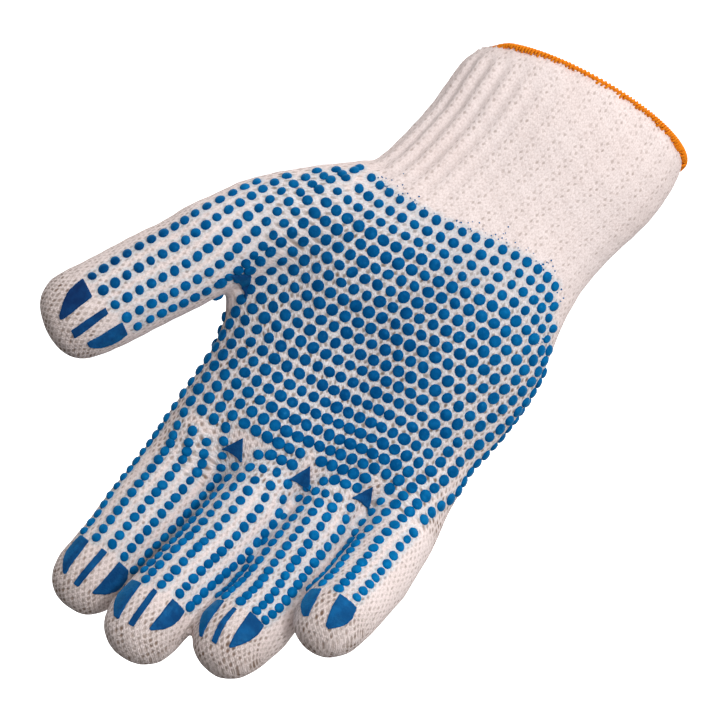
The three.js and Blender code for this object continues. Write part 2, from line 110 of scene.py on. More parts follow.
TUBES = (
    Tube("thumb", (
        (-30.0, 1.0, -62.0, 28.0, 30.0), (-41.0, -1.5, -72.0, 33.0, 31.5),
        (-51.2, -4.0, -82.0, 34.5, 31.0), (-62.0, -5.5, -92.2, 34.0, 29.5),
        (-71.3, -6.5, -103.3, 32.4, 28.0), (-78.5, -7.5, -116.9, 31.0, 27.0),
        (-85.4, -8.5, -129.3, 31.0, 26.5), (-91.6, -10.0, -141.0, 30.8, 26.0),
        (-97.6, -11.5, -151.6, 30.4, 25.0)), turn=0, dome=13.8, seam=0.655, wales=86),
    Tube("index_finger", (
        (-41.0, 1.5, -140.0, 27.0, 25.0), (-42.4, 0.5, -157.0, 28.4, 26.0),
        (-42.4, 1.0, -172.0, 28.6, 25.5), (-43.4, -1.5, -186.7, 28.0, 25.0),
        (-44.7, -4.5, -197.4, 27.2, 24.5), (-45.9, -7.5, -208.0, 25.6, 24.0),
        (-47.4, -10.5, -221.6, 25.2, 23.0)), turn=4, dome=13.4, seam=0.46, wales=76),
    Tube("middle_finger", (
        (-15.5, 1.0, -138.0, 24.0, 25.0), (-15.7, -0.5, -154.0, 24.0, 26.0),
        (-16.3, -5.5, -168.0, 24.0, 26.0), (-17.4, -11.0, -184.0, 24.6, 25.5),
        (-19.1, -15.5, -196.6, 25.0, 25.5), (-21.2, -20.5, -207.6, 25.4, 25.0),
        (-23.4, -26.0, -221.6, 26.8, 24.5)), turn=20, dome=14.6, seam=0.41, wales=76),
    Tube("ring_finger", (
        (7.2, 0.5, -134.0, 23.0, 25.0), (7.4, -2.0, -148.0, 22.6, 26.0),
        (7.2, -7.5, -162.0, 22.6, 25.5), (6.7, -13.5, -175.0, 23.2, 25.0),
        (5.9, -19.5, -187.0, 24.8, 24.5), (5.5, -25.8, -198.5, 26.4, 24.0),
        (2.8, -31.8, -209.5, 26.2, 23.5)), turn=28, dome=14.2, seam=0.42, wales=76),
    Tube("little_finger", (
        (27.0, -0.5, -128.0, 22.0, 24.0), (27.6, -4.0, -142.0, 23.0, 25.0),
        (28.8, -12.0, -155.0, 24.2, 24.0), (29.0, -21.0, -166.0, 24.4, 23.5),
        (27.6, -30.0, -176.6, 24.0, 23.0), (25.2, -39.5, -186.4, 24.4, 22.5)),
        turn=28, dome=13.6, seam=0.45, wales=72),
)


def smoothstep(low: float, high: float, value: np.ndarray) -> np.ndarray:
    """Smooth ramp from 0 at low to 1 at high.

    Args:
        low: where the ramp starts.
        high: where the ramp ends.
        value: numbers to place on the ramp.

    Returns:
        The ramp's heights.
    """
    t = np.clip((value - low) / (high - low), 0, 1)
    return t * t * (3 - 2 * t)


def along(rows: np.ndarray, places: np.ndarray) -> np.ndarray:
    """Catmull-Rom values between a table's rows.

    Args:
        rows: table of numbers, one row a level.
        places: row numbers with fractions.

    Returns:
        One interpolated row for each place.
    """
    count = len(rows)
    first = np.minimum(np.floor(places).astype(int), count - 2)
    t = (places - first)[:, None]
    a, b, c, d = (rows[np.clip(first + k, 0, count - 1)] for k in (-1, 0, 1, 2))
    bend = 2 * a - 5 * b + 4 * c - d
    twist = 3 * b - a - 3 * c + d
    return b + 0.5 * t * (c - a + t * (bend + t * twist))


class TubeMap:
    """Length and angle coordinates on one finger or the thumb.

    Attributes:
        samples_per_row: samples of the centre line from one row to the next.
        side_bend: how much the place across the rounded tip tells in its bend.
        reach_weight: how much the distance tells when a point looks for its sample.
        least_reach: smallest reach that the wales are counted at.
        box_margin: how far the tube's box is widened, in radii.
        lean_back: how far the inward direction over the tip leans back to the centre line.
    """

    samples_per_row = 16
    side_bend = 0.5
    reach_weight = 0.35
    least_reach = 0.1
    box_margin = 1.6
    lean_back = 0.4

    def __init__(self, tube: Tube) -> None:
        """Samples the tube's centre line.

        Args:
            tube: the finger or thumb to chart.
        """
        rows = np.array(tube.rows)
        end = len(rows) - 1
        self.tube = tube
        self.places = np.linspace(0, end, end * self.samples_per_row + 1)
        table = along(rows, self.places)
        self.centres = table[:, :3]
        self.half = table[:, 3:] / 2
        ends = ((1, 1), (0, 0))
        padded = np.pad(self.centres, ends, mode="edge")
        forward = padded[2:] - padded[:-2]
        self.forward = forward / np.linalg.norm(forward, axis=1, keepdims=True)
        across = np.array([1.0, 0, 0]) - self.forward * self.forward[:, :1]
        across /= np.linalg.norm(across, axis=1, keepdims=True)
        palm = np.cross(self.forward, across)
        palm *= np.where(palm[:, 1:2] > 0, -1, 1)
        turn = math.radians(tube.turn)
        self.facing = palm * math.cos(turn) - across * math.sin(turn)
        self.side = across * math.cos(turn) + palm * math.sin(turn)
        steps = np.linalg.norm(np.diff(self.centres, axis=0), axis=1)
        self.run = np.concatenate([[0], np.cumsum(steps)])
        self.length = self.run[-1] + tube.dome
        self.root = float(np.interp(tube.seam * end, self.places, self.run))

    def chart(self, points: np.ndarray) -> tuple[np.ndarray, ...]:
        """Charts points in space.

        Args:
            points: places in millimetres.

        Returns:
            Run along the centre line, angle round it with 0 at the palm side, distance from the
            centre line as a share of the tube's radius, and the knit's own wale and course angles:
            wales that run on over the rounded tip to a seam from side to side.
        """
        gaps = points[:, None, :] - self.centres[None]
        ahead = np.einsum("pki,ki->pk", gaps, self.forward)
        reach = np.linalg.norm(gaps, axis=2)
        near = np.argmin(np.abs(ahead) + self.reach_weight * reach, axis=1)
        pick = np.arange(len(points))
        gap = gaps[pick, near]
        wide = np.einsum("pi,pi->p", gap, self.side[near]) / self.half[near, 0]
        deep = np.einsum("pi,pi->p", gap, self.facing[near]) / self.half[near, 1]
        run = self.run[near] + ahead[pick, near]
        reach = np.hypot(wide, deep)
        over = np.maximum(run - self.run[-1], 0) / self.tube.dome
        spread = np.maximum(np.hypot(reach, over), self.least_reach)
        wale = np.arcsin(np.clip(wide / spread, -1, 1))
        bend = np.arctan2(over, np.hypot(deep, self.side_bend * wide))
        mean = (self.tube.dome + self.half[-1, 1]) / 2
        course = np.where(over > 0, self.run[-1] + bend * mean, run)
        return run, np.arctan2(wide, deep), reach, wale, course

    def near(self, points: np.ndarray) -> np.ndarray:
        """Whether each point lies in the tube's widened box."""
        margin = self.half.max() * self.box_margin
        low, high = self.centres.min(axis=0) - margin, self.centres.max(axis=0) + margin
        return np.all((points > low) & (points < high), axis=1)

    def point(self, run: float, angle: float, reach: float = 1.0) -> tuple[Vector, Vector]:
        """Place off the tube and the direction back to its centre line.

        Args:
            run: length along the centre line, in millimetres.
            angle: radians round the tube from its palm side.
            reach: distance from the centre line as a share of the radius.

        Returns:
            The place in millimetres and the inward direction.
        """
        held = min(max(run, 0), self.run[-1])

        def at(values: np.ndarray) -> np.ndarray:
            """Value of a sampled table at the run."""
            return np.array([np.interp(held, self.run, column) for column in values.T])
        centre, half = at(self.centres), at(self.half)
        over = max(run - held, 0)
        out = at(self.side) * half[0] * math.sin(angle) + at(self.facing) * half[1] * math.cos(angle)
        place = centre + at(self.forward) * over + out * reach
        behind = centre + at(self.forward) * over * self.lean_back
        return Vector(place), Vector(behind - place).normalized()


class HandMap:
    """Level and arc coordinates on the cuff and palm.

    Attributes:
        steps: points round the outline.
        rows: first level, a level past the last one and the step between two, in millimetres.
    """

    steps = 240
    rows = (10.0, -175.0, -2.5)

    def __init__(self) -> None:
        """Measures the outline of a row of levels."""
        self.angles = np.linspace(-math.pi, math.pi, self.steps + 1)
        self.levels = np.arange(*self.rows)
        self.arcs = []
        for level in self.levels:
            x, y = self.outline(level, self.angles)
            arc = np.concatenate([[0], np.cumsum(np.hypot(np.diff(x), np.diff(y)))])
            self.arcs.append(arc - arc[self.steps // 2])
        self.arcs = np.array(self.arcs)

    @staticmethod
    def section(level: np.ndarray) -> list[np.ndarray]:
        """Left, right, palm side, back and corner exponent at a level."""
        return [np.interp(-level, -SECTIONS[:, 0], SECTIONS[:, k]) for k in range(1, 6)]

    def outline(self, level: float, angle: np.ndarray) -> tuple[np.ndarray, np.ndarray]:
        """Points of the outline at a level.

        Args:
            level: height in millimetres.
            angle: radians round the section, 0 at the palm side and positive toward +X.

        Returns:
            The x and y of the points.
        """
        left, right, front, back, corner = self.section(np.asarray(level, float))
        s, c = np.sin(angle), np.cos(angle)
        x = (left + right) / 2 + (right - left) / 2 * np.sign(s) * np.abs(s) ** (2 / corner)
        y = np.where(c > 0, front, back) * np.abs(c) ** (2 / corner)
        return x, y

    def chart(self, points: np.ndarray) -> tuple[np.ndarray, np.ndarray]:
        """Charts points in space.

        Args:
            points: places in millimetres.

        Returns:
            Share of the way round the outline, -0.5 to 0.5, and distance from its middle as a share
            of the outline's own.
        """
        left, right, front, back, corner = self.section(points[:, 2])
        x = (points[:, 0] - (left + right) / 2) / ((right - left) / 2)
        y = points[:, 1] / np.where(points[:, 1] < 0, -front, back)
        sx = np.sign(x) * np.abs(x) ** (corner / 2)
        sy = np.sign(y) * np.abs(y) ** (corner / 2)
        angle = np.arctan2(sx, -sy)
        level = np.interp(-points[:, 2], -self.levels, np.arange(len(self.levels)))
        low = np.clip(level.astype(int), 0, len(self.levels) - 2)
        share = level - low
        spot = (angle + math.pi) / TAU * self.steps
        left_spot = np.clip(spot.astype(int), 0, self.steps - 1)
        part = spot - left_spot

        def arc(row: np.ndarray) -> np.ndarray:
            """Arc length at the spot on one row of levels."""
            return self.arcs[row, left_spot] * (1 - part) + self.arcs[row, left_spot + 1] * part
        length = arc(low) * (1 - share) + arc(low + 1) * share
        whole = self.girth(points[:, 2])
        return length / whole, np.hypot(sx, sy)

    @staticmethod
    def mouth(x: float, y: float) -> float:
        """Level of the cuff's rim over a place across the mouth, in millimetres."""
        level, rise, drop, wide, deep = MOUTH
        return level - rise * y / deep - drop * (0.5 - 0.5 * x / wide) ** 2

    def girth(self, level: np.ndarray) -> np.ndarray:
        """Length round the outline at a level."""
        return np.interp(-level, -self.levels, self.arcs[:, -1] - self.arcs[:, 0])

    def point(self, arc: float, level: float) -> tuple[Vector, Vector]:
        """Place on the outline and the direction into the hand.

        Args:
            arc: millimetres round the outline from the middle of the palm side.
            level: height in millimetres.

        Returns:
            The place in millimetres and the inward direction.
        """
        row = int(np.argmin(np.abs(self.levels - level)))
        angle = float(np.interp(arc, self.arcs[row], self.angles))
        x, y = self.outline(level, np.array([angle - NUDGE, angle, angle + NUDGE]))
        inward = Vector((-(y[2] - y[0]), x[2] - x[0], 0)).normalized()
        return Vector((x[1], y[1], level)), inward


class Graph:
    """A material's node tree with short ways to add its nodes."""

    def __init__(self, name: str) -> None:
        """Starts a material.

        Args:
            name: the material's name.
        """
        self.material = bpy.data.materials.new(name)
        self.material.use_nodes = True
        self.tree = self.material.node_tree
        self.shader = self.tree.nodes["Principled BSDF"]

    def add(self, kind: str, **settings: object) -> bpy.types.Node:
        """Adds a node and sets its properties.

        Args:
            kind: the node's type name.
            **settings: properties of the node.

        Returns:
            The node.
        """
        node = self.tree.nodes.new(kind)
        for key, value in settings.items():
            setattr(node, key, value)
        return node

    def feed(self, socket: bpy.types.NodeSocket, value: object) -> None:
        """Links a socket to another, or sets its value."""
        if isinstance(value, bpy.types.NodeSocket):
            self.tree.links.new(value, socket)
        else:
            socket.default_value = value

    def math(self, operation: str, *values: object, clamp: bool = False) -> bpy.types.NodeSocket:
        """Adds a Math node.

        Args:
            operation: the node's operation.
            *values: numbers or sockets for its inputs.
            clamp: keeps the result within 0 and 1.

        Returns:
            The result's socket.
        """
        node = self.add("ShaderNodeMath", operation=operation, use_clamp=clamp)
        for socket, value in zip(node.inputs, values):
            self.feed(socket, value)
        return node.outputs[0]

    def noise(self, scale: float, detail: float = 2.0) -> bpy.types.NodeSocket:
        """Adds a noise on Object coordinates.

        Args:
            scale: lumps a metre.
            detail: finer layers.

        Returns:
            The noise's socket.
        """
        node = self.add("ShaderNodeTexNoise")
        self.feed(node.inputs["Vector"], self.place())
        node.inputs["Scale"].default_value = scale
        node.inputs["Detail"].default_value = detail
        return node.outputs["Fac"]

    def place(self) -> bpy.types.NodeSocket:
        """Object coordinates."""
        return self.add("ShaderNodeTexCoord").outputs["Object"]

    def ramp(self, value: bpy.types.NodeSocket, *stops: tuple) -> bpy.types.NodeSocket:
        """Adds a colour ramp.

        Args:
            value: the number to colour.
            *stops: position and colour of each stop.

        Returns:
            The colour's socket.
        """
        node = self.add("ShaderNodeValToRGB")
        elements = node.color_ramp.elements
        while len(elements) < len(stops):
            elements.new(1.0)
        for element, (position, colour) in zip(elements, stops):
            element.position = position
            element.color = (*colour, 1)
        self.feed(node.inputs["Fac"], value)
        return node.outputs["Color"]

    def shade(self, scale: float, detail: float, *stops: tuple) -> bpy.types.NodeSocket:
        """Adds a noise coloured by a ramp.

        Args:
            scale: lumps a metre.
            detail: finer layers.
            *stops: position and colour of each stop.

        Returns:
            The colour's socket.
        """
        return self.ramp(self.noise(scale, detail), *stops)

    def mix(self, share: object, low: object, high: object, blend: str = "MIX") -> bpy.types.NodeSocket:
        """Mixes two colours.

        Args:
            share: how much of high, a number or a socket.
            low: colour or socket.
            high: colour or socket.
            blend: the way of mixing.

        Returns:
            The colour's socket.
        """
        node = self.add("ShaderNodeMix", data_type="RGBA", blend_type=blend)
        self.feed(node.inputs[0], share)
        for socket, value in ((node.inputs[6], low), (node.inputs[7], high)):
            self.feed(socket, value if isinstance(value, bpy.types.NodeSocket) else (*value, 1))
        return node.outputs[2]

    def bump(self, height: bpy.types.NodeSocket, depth: float, strength: float = 1.0,
             below: bpy.types.NodeSocket | None = None) -> bpy.types.NodeSocket:
        """Adds a bump.

        Args:
            height: the height's socket.
            depth: metres from height 0 to height 1.
            strength: how much of it shows.
            below: normal of another bump under it.

        Returns:
            The normal's socket.
        """
        node = self.add("ShaderNodeBump")
        node.inputs["Strength"].default_value = strength
        node.inputs["Distance"].default_value = depth
        self.feed(node.inputs["Height"], height)
        if below:
            self.feed(node.inputs["Normal"], below)
        return node.outputs["Normal"]

    def finish(self, colour: object, rough: object, normal: bpy.types.NodeSocket,
               **values: float) -> bpy.types.Material:
        """Feeds the shader.

        Args:
            colour: base colour's socket.
            rough: roughness, a number or a socket.
            normal: normal's socket.
            **values: numbers or colours for other inputs of the shader, with spaces in their names
                as underscores.

        Returns:
            The finished material.
        """
        self.feed(self.shader.inputs["Base Color"], colour)
        self.feed(self.shader.inputs["Roughness"], rough)
        self.feed(self.shader.inputs["Normal"], normal)
        for key, value in values.items():
            self.shader.inputs[key.replace("_", " ")].default_value = value
        return self.material


@dataclass(frozen=True)
class StitchField:
    """How one of the knit's two charts is drawn.

    Attributes:
        chart: name of the UV map, wales across and courses down.
        courses_a_hole: courses from one visible hole to the next.
        hole_size: half width of a hole in wales and half height in holes a row.
        stagger: shift of every second line of holes, in holes a row.
        spread: how unlike the holes are, 0 to 1.
        rib: wales a rib, 0 where every wale is alike.
    """

    chart: str
    courses_a_hole: float
    hole_size: tuple[float, float]
    stagger: float
    spread: float
    rib: int = 0


@dataclass(frozen=True)
class CottonKnit:
    """Off-white cotton jersey, its stitches drawn on the knit's own two UV maps.

    Attributes:
        light: yarn on top of a stitch.
        crease_shade: painted shade between two stitches.
        hole: painted shade in a gap where wales part, the inside shown dark as in shadow.
        bounce_tint: painted blue bounce light, the knit's tint right beside a print.
        lean: how steeply the legs of a stitch rise.
        depth: relief of a stitch, in metres.
        hand: how the chart of the cuff and palm is drawn.
        tube: how the fingers' charts are drawn.
        sway: how far the yarn wanders in the hand's chart, in wales, and how much more in a tube's.
        round_off: how full a stitch is along its course and across its wale.
        narrowing: how much a hole grows where the knit is open.
        rib_holes: mean size of the holes over a rib, and their size where the knit is open.
        seen: how dark the painted shade in the holes is in dense knit, and how much darker in open knit.
        flat: how far the painted shade of the creases gives way to the light colour in dense knit, and
            how much less in open knit.
        relief: share of the relief in dense knit, and how much more in open knit.
        pit: depth of a hole, in stitches' heights.
        rough: roughness.
        shine: level of the reflection.
    """

    light: tuple[float, float, float] = (0.93, 0.812, 0.79)
    crease_shade: tuple[float, float, float] = (0.66, 0.555, 0.51)
    hole: tuple[float, float, float] = (0.27, 0.18, 0.13)
    bounce_tint: tuple[float, float, float] = (0.78, 0.90, 0.965)
    lean: float = 1.2
    depth: float = 0.0002
    hand: StitchField = StitchField("hand_knit", 2.0, (0.34, 0.29), 0.36, 0.45, 4)
    tube: StitchField = StitchField("tube_knit", 2.6, (0.48, 0.22), 0.5, 0.7)
    sway: tuple[float, float] = (0.7, 1.7)
    round_off: tuple[float, float] = (0.6, 0.5)
    narrowing: float = 0.55
    rib_holes: tuple[float, float] = (0.6, 2.2)
    seen: tuple[float, float] = (0.48, 0.75)
    flat: tuple[float, float] = (0.72, 0.7)
    relief: tuple[float, float] = (0.28, 0.9)
    pit: float = 1.2
    rough: float = 0.93
    shine: float = 0.05

    def stitches(self, g: Graph, field_: StitchField, sway: object,
                 open_and_shade: object) -> tuple[object, object]:
        """Draws one chart.

        Args:
            g: the material.
            field_: the chart and its rhythm.
            sway: small shift of the yarn, in wales.
            open_and_shade: how open the knit is, 0 to 1; it also sets the painted shade in the holes.

        Returns:
            Sockets of the stitches' height and of their holes.
        """
        split = g.add("ShaderNodeSeparateXYZ")
        g.feed(split.inputs[0], g.add("ShaderNodeUVMap", uv_map=field_.chart).outputs[0])
        wale = g.math("ADD", split.outputs[0], g.math("ADD", sway, 0.5 if field_.rib else 0.0))
        course = g.math("ADD", split.outputs[1], sway)
        out = g.math("ABSOLUTE", g.math("SUBTRACT", g.math("FRACT", wale), 0.5))
        slant = g.math("SUBTRACT", course, g.math("MULTIPLY", out, self.lean))
        band = g.math("SINE", g.math("MULTIPLY", g.math("FRACT", slant), math.pi))
        leg = g.math("MAXIMUM", g.math("SINE", g.math("MULTIPLY", out, TAU)), 0.0)
        plump = g.math("MULTIPLY", g.math("POWER", band, self.round_off[0]),
                       g.math("POWER", leg, self.round_off[1]))
        gap = g.math("ROUND", wale)
        half_turn = g.math("MULTIPLY", g.math("FRACT", g.math("MULTIPLY", gap, 0.5)),
                           2 * field_.stagger)
        row = g.math("ADD", g.math("DIVIDE", course, field_.courses_a_hole), half_turn)
        wide = g.math("DIVIDE", g.math("SUBTRACT", wale, gap), field_.hole_size[0])
        tall = g.math("DIVIDE", g.math("SUBTRACT", g.math("FRACT", row), 0.5),
                      field_.hole_size[1])
        reach = g.math("ADD", g.math("MULTIPLY", wide, wide), g.math("MULTIPLY", tall, tall))
        wider = g.math("SUBTRACT", 1.0, g.math("MULTIPLY", open_and_shade, self.narrowing))
        reach = g.math("MULTIPLY", reach, wider)
        pit = g.math("SUBTRACT", 1.0, reach, clamp=True)
        cell = g.add("ShaderNodeCombineXYZ")
        g.feed(cell.inputs[0], gap)
        g.feed(cell.inputs[1], g.math("FLOOR", row))
        chance = g.add("ShaderNodeTexWhiteNoise", noise_dimensions="2D")
        g.feed(chance.inputs["Vector"], cell.outputs[0])
        unlike = g.math("MULTIPLY", chance.outputs[0], field_.spread)
        hole = g.math("MULTIPLY", pit, g.math("ADD", unlike, 1 - field_.spread))
        if field_.rib:
            turn = g.math("MULTIPLY", g.math("SUBTRACT", gap, 0.5), TAU / field_.rib)
            mean, opened = self.rib_holes
            pairs = g.math("ADD", g.math("MULTIPLY", g.math("COSINE", turn), mean), mean)
            swell = g.math("MAXIMUM", pairs, g.math("MULTIPLY", open_and_shade, opened))
            hole = g.math("MULTIPLY", hole, swell)
        return plump, hole

    def make(self) -> bpy.types.Material:
        """Builds the material."""
        g = Graph("cotton_knit")
        share = g.add("ShaderNodeAttribute", attribute_name="tube_share").outputs["Fac"]
        open_and_shade = g.add("ShaderNodeAttribute", attribute_name="openness_and_shade").outputs["Fac"]
        wander = g.noise(330.0)
        sway = g.math("MULTIPLY", g.math("SUBTRACT", wander, 0.5), self.sway[0])
        hand = self.stitches(g, self.hand, sway, open_and_shade)
        loose = g.math("MULTIPLY", sway, self.sway[1])
        tube = self.stitches(g, self.tube, loose, open_and_shade)
        plump, hole = (g.math("ADD", low, g.math("MULTIPLY", share, g.math("SUBTRACT", high, low)))
                       for low, high in zip(hand, tube))
        uneven = g.shade(170.0, 1.0, (0.35, (0.55, 0.55, 0.55)), (0.65, WHITE))
        # Painted shade in the holes: darker where the knit is open, unevenly at random.
        shade_depth = g.math("ADD", g.math("MULTIPLY", open_and_shade, self.seen[1]), self.seen[0])
        seen = g.math("MULTIPLY", hole, g.math("MULTIPLY", shade_depth, uneven), clamp=True)
        # Painted shade: the knit darkens from the tops of the stitches down into the creases between
        # them.
        tone = g.ramp(plump, (0.0, self.crease_shade), (0.5, self.light))
        flat = g.math("SUBTRACT", self.flat[0], g.math("MULTIPLY", open_and_shade, self.flat[1]), clamp=True)
        tone = g.mix(flat, tone, self.light)
        tone = g.mix(seen, tone, self.hole)
        cloud = g.shade(45.0, 3.0, (0.3, (0.95, 0.93, 0.92)), (0.7, WHITE))
        tone = g.mix(1.0, tone, cloud, "MULTIPLY")
        speck = g.shade(1500.0, 2.0, (0.36, (0.87, 0.85, 0.84)), (0.56, WHITE))
        tone = g.mix(1.0, tone, speck, "MULTIPLY")
        # Painted bounce light: the knit is tinted blue right beside each dot.
        blue_bounce = g.add("ShaderNodeAttribute", attribute_name="blue_bounce").outputs["Fac"]
        tone = g.mix(blue_bounce, tone, g.mix(1.0, tone, self.bounce_tint, "MULTIPLY"))
        fuzz = g.bump(g.noise(2600.0, 3.0), 0.00002, 0.5)
        relief = g.math("ADD", g.math("MULTIPLY", open_and_shade, self.relief[1]), self.relief[0])
        height = g.math("SUBTRACT", plump, g.math("MULTIPLY", hole, self.pit))
        height = g.math("MULTIPLY", height, relief)
        normal = g.bump(height, self.depth, 1.0, fuzz)
        return g.finish(tone, self.rough, normal, Specular_IOR_Level=self.shine)


@dataclass(frozen=True)
class PrintedPvc:
    """Blue soft PVC, half glossy, with the knit showing through as a faint relief.

    Attributes:
        deep: main colour.
        bright: where the print is thin.
        rim: painted sheen, a lighter blue where the surface turns away from the view, at a dot's edges.
        rough: roughness.
        rough_spread: how far the roughness goes over and under it, together.
        gloss: tint of its highlights.
        shine: level of the reflection.
        weave: relief of the knit under it, in metres.
        reach: first and last place across the print, in metres.
        thickness: painted shade, the colour deepening from the little finger's side to the thumb.
        drop: lowest and highest place of the print, in metres.
        hollow_shade: painted shade, the colour deepening from the fingertips to the middle of the palm's
            hollow.
    """

    deep: tuple[float, float, float] = (0.001, 0.140, 0.37)
    bright: tuple[float, float, float] = (0.003, 0.235, 0.55)
    rim: tuple[float, float, float] = (0.003, 0.21, 0.46)
    rough: float = 0.15
    rough_spread: float = 0.08
    gloss: tuple[float, float, float, float] = (0.12, 0.6, 1.0, 1.0)
    shine: float = 0.06
    weave: float = 0.00022
    reach: tuple[float, float] = (-0.115, 0.045)
    thickness: tuple[tuple, ...] = (
        (0.05, (1.0, 0.28, 0.42)), (0.24, (1.0, 0.95, 1.0)), (0.38, (1.0, 0.66, 0.72)),
        (0.66, (1.0, 0.70, 0.79)), (0.92, (1.0, 0.90, 0.93)))
    drop: tuple[float, float] = (-0.24, -0.05)
    hollow_shade: tuple[tuple, ...] = (
        (0.0, (1.0, 1.0, 1.0)), (0.42, (1.0, 0.92, 0.92)), (0.58, (1.0, 0.62, 0.68)),
        (0.76, (1.0, 0.62, 0.68)), (0.92, (1.0, 0.82, 0.84)))

    def make(self) -> bpy.types.Material:
        """Builds the material."""
        g = Graph("blue_pvc")
        marbling = g.shade(300.0, 2.0, (0.38, BLACK), (0.72, WHITE))
        tone = g.mix(marbling, self.deep, self.bright)
        split = g.add("ShaderNodeSeparateXYZ")
        g.feed(split.inputs[0], g.place())
        # Painted shade across the hand: the print darkens by place from side to side, most over the
        # thumb.
        low, high = self.reach
        across = g.math("DIVIDE", g.math("SUBTRACT", split.outputs[0], low), high - low)
        tone = g.mix(1.0, tone, g.ramp(across, *self.thickness), "MULTIPLY")
        # Painted shade: the print darkens by level, most in the palm's hollow.
        low, high = self.drop
        down = g.math("DIVIDE", g.math("SUBTRACT", split.outputs[2], low), high - low)
        tone = g.mix(1.0, tone, g.ramp(down, *self.hollow_shade), "MULTIPLY")
        # Painted sheen: a lighter blue where the surface turns away from the view, at the dots' edges.
        rim = g.add("ShaderNodeLayerWeight").outputs["Facing"]
        rim = g.ramp(rim, (0.25, BLACK), (0.85, (0.75, 0.75, 0.75)))
        tone = g.mix(rim, tone, self.rim)
        uneven = g.math("MULTIPLY", g.noise(1200.0), self.rough_spread)
        rough = g.math("ADD", uneven, self.rough - self.rough_spread / 2)
        normal = g.bump(g.noise(800.0, 2.0), self.weave, 0.8)
        return g.finish(tone, rough, normal, Specular_IOR_Level=self.shine, Specular_Tint=self.gloss)


@dataclass(frozen=True)
class OverlockYarn:
    """Orange yarn with a fine grain.

    Attributes:
        lit: colour of the fibres on top.
        deep: painted shade between them, where the grain's bump is low.
        rough: roughness.
        relief: height of the grain, in metres.
        shine: level of the reflection.
    """

    lit: tuple[float, float, float] = (0.95, 0.30, 0.012)
    deep: tuple[float, float, float] = (0.74, 0.18, 0.006)
    rough: float = 0.8
    relief: float = 0.0001
    shine: float = 0.1

    def make(self) -> bpy.types.Material:
        """Builds the material."""
        g = Graph("orange_yarn")
        grain = g.noise(2400.0, 3.0)
        # Painted shade: darker where the grain, which is also the bump, is low between the fibres.
        tone = g.ramp(grain, (0.3, self.deep), (0.62, self.lit))
        return g.finish(tone, self.rough, g.bump(grain, self.relief), Specular_IOR_Level=self.shine)


def mesh_object(name: str, mesh: bpy.types.Mesh, material: bpy.types.Material) -> bpy.types.Object:
    """Puts a finished mesh in the scene as a piece of the glove.

    Args:
        name: the piece's name.
        mesh: its mesh, in metres.
        material: its finish.

    Returns:
        The new piece.
    """
    piece = bpy.data.objects.new(name, mesh)
    bpy.context.collection.objects.link(piece)
    mesh.materials.clear()
    mesh.materials.append(material)
    if not mesh.has_custom_normals:
        mesh.shade_smooth()
    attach(piece, BODY)
    return piece


def remeshed(mesh: bpy.types.Mesh, voxel: float) -> bpy.types.Mesh:
    """One even skin over all the bodies of a mesh.

    Args:
        mesh: closed bodies, in metres.
        voxel: size of the new faces, in metres.

    Returns:
        The new mesh.
    """
    holder = bpy.data.objects.new("skin", mesh)
    bpy.context.collection.objects.link(holder)
    skin = holder.modifiers.new("skin", "REMESH")
    skin.mode = "VOXEL"
    skin.voxel_size = voxel
    skin.adaptivity = 0
    evaluated = holder.evaluated_get(bpy.context.evaluated_depsgraph_get())
    result = bpy.data.meshes.new_from_object(evaluated)
    bpy.data.objects.remove(holder)
    return result


def coordinates(mesh: bpy.types.Mesh) -> np.ndarray:
    """Vertex places of a mesh in millimetres."""
    flat = np.empty(len(mesh.vertices) * 3, np.float64)
    mesh.vertices.foreach_get("co", flat)
    return flat.reshape(-1, 3) / MM


def directions(mesh: bpy.types.Mesh) -> np.ndarray:
    """Vertex normals of a mesh."""
    flat = np.empty(len(mesh.vertices) * 3, np.float32)
    mesh.vertices.foreach_get("normal", flat)
    return flat.reshape(-1, 3)


def relax(bm: bmesh.types.BMesh, verts: list[bmesh.types.BMVert], passes: int) -> None:
    """Smooths vertices of a mesh.

    Args:
        bm: the mesh, changed in place.
        verts: the vertices to smooth.
        passes: rounds of smoothing.
    """
    for _ in range(passes):
        bmesh.ops.smooth_vert(bm, verts=verts, factor=RELAX, use_axis_x=True, use_axis_y=True,
                              use_axis_z=True)


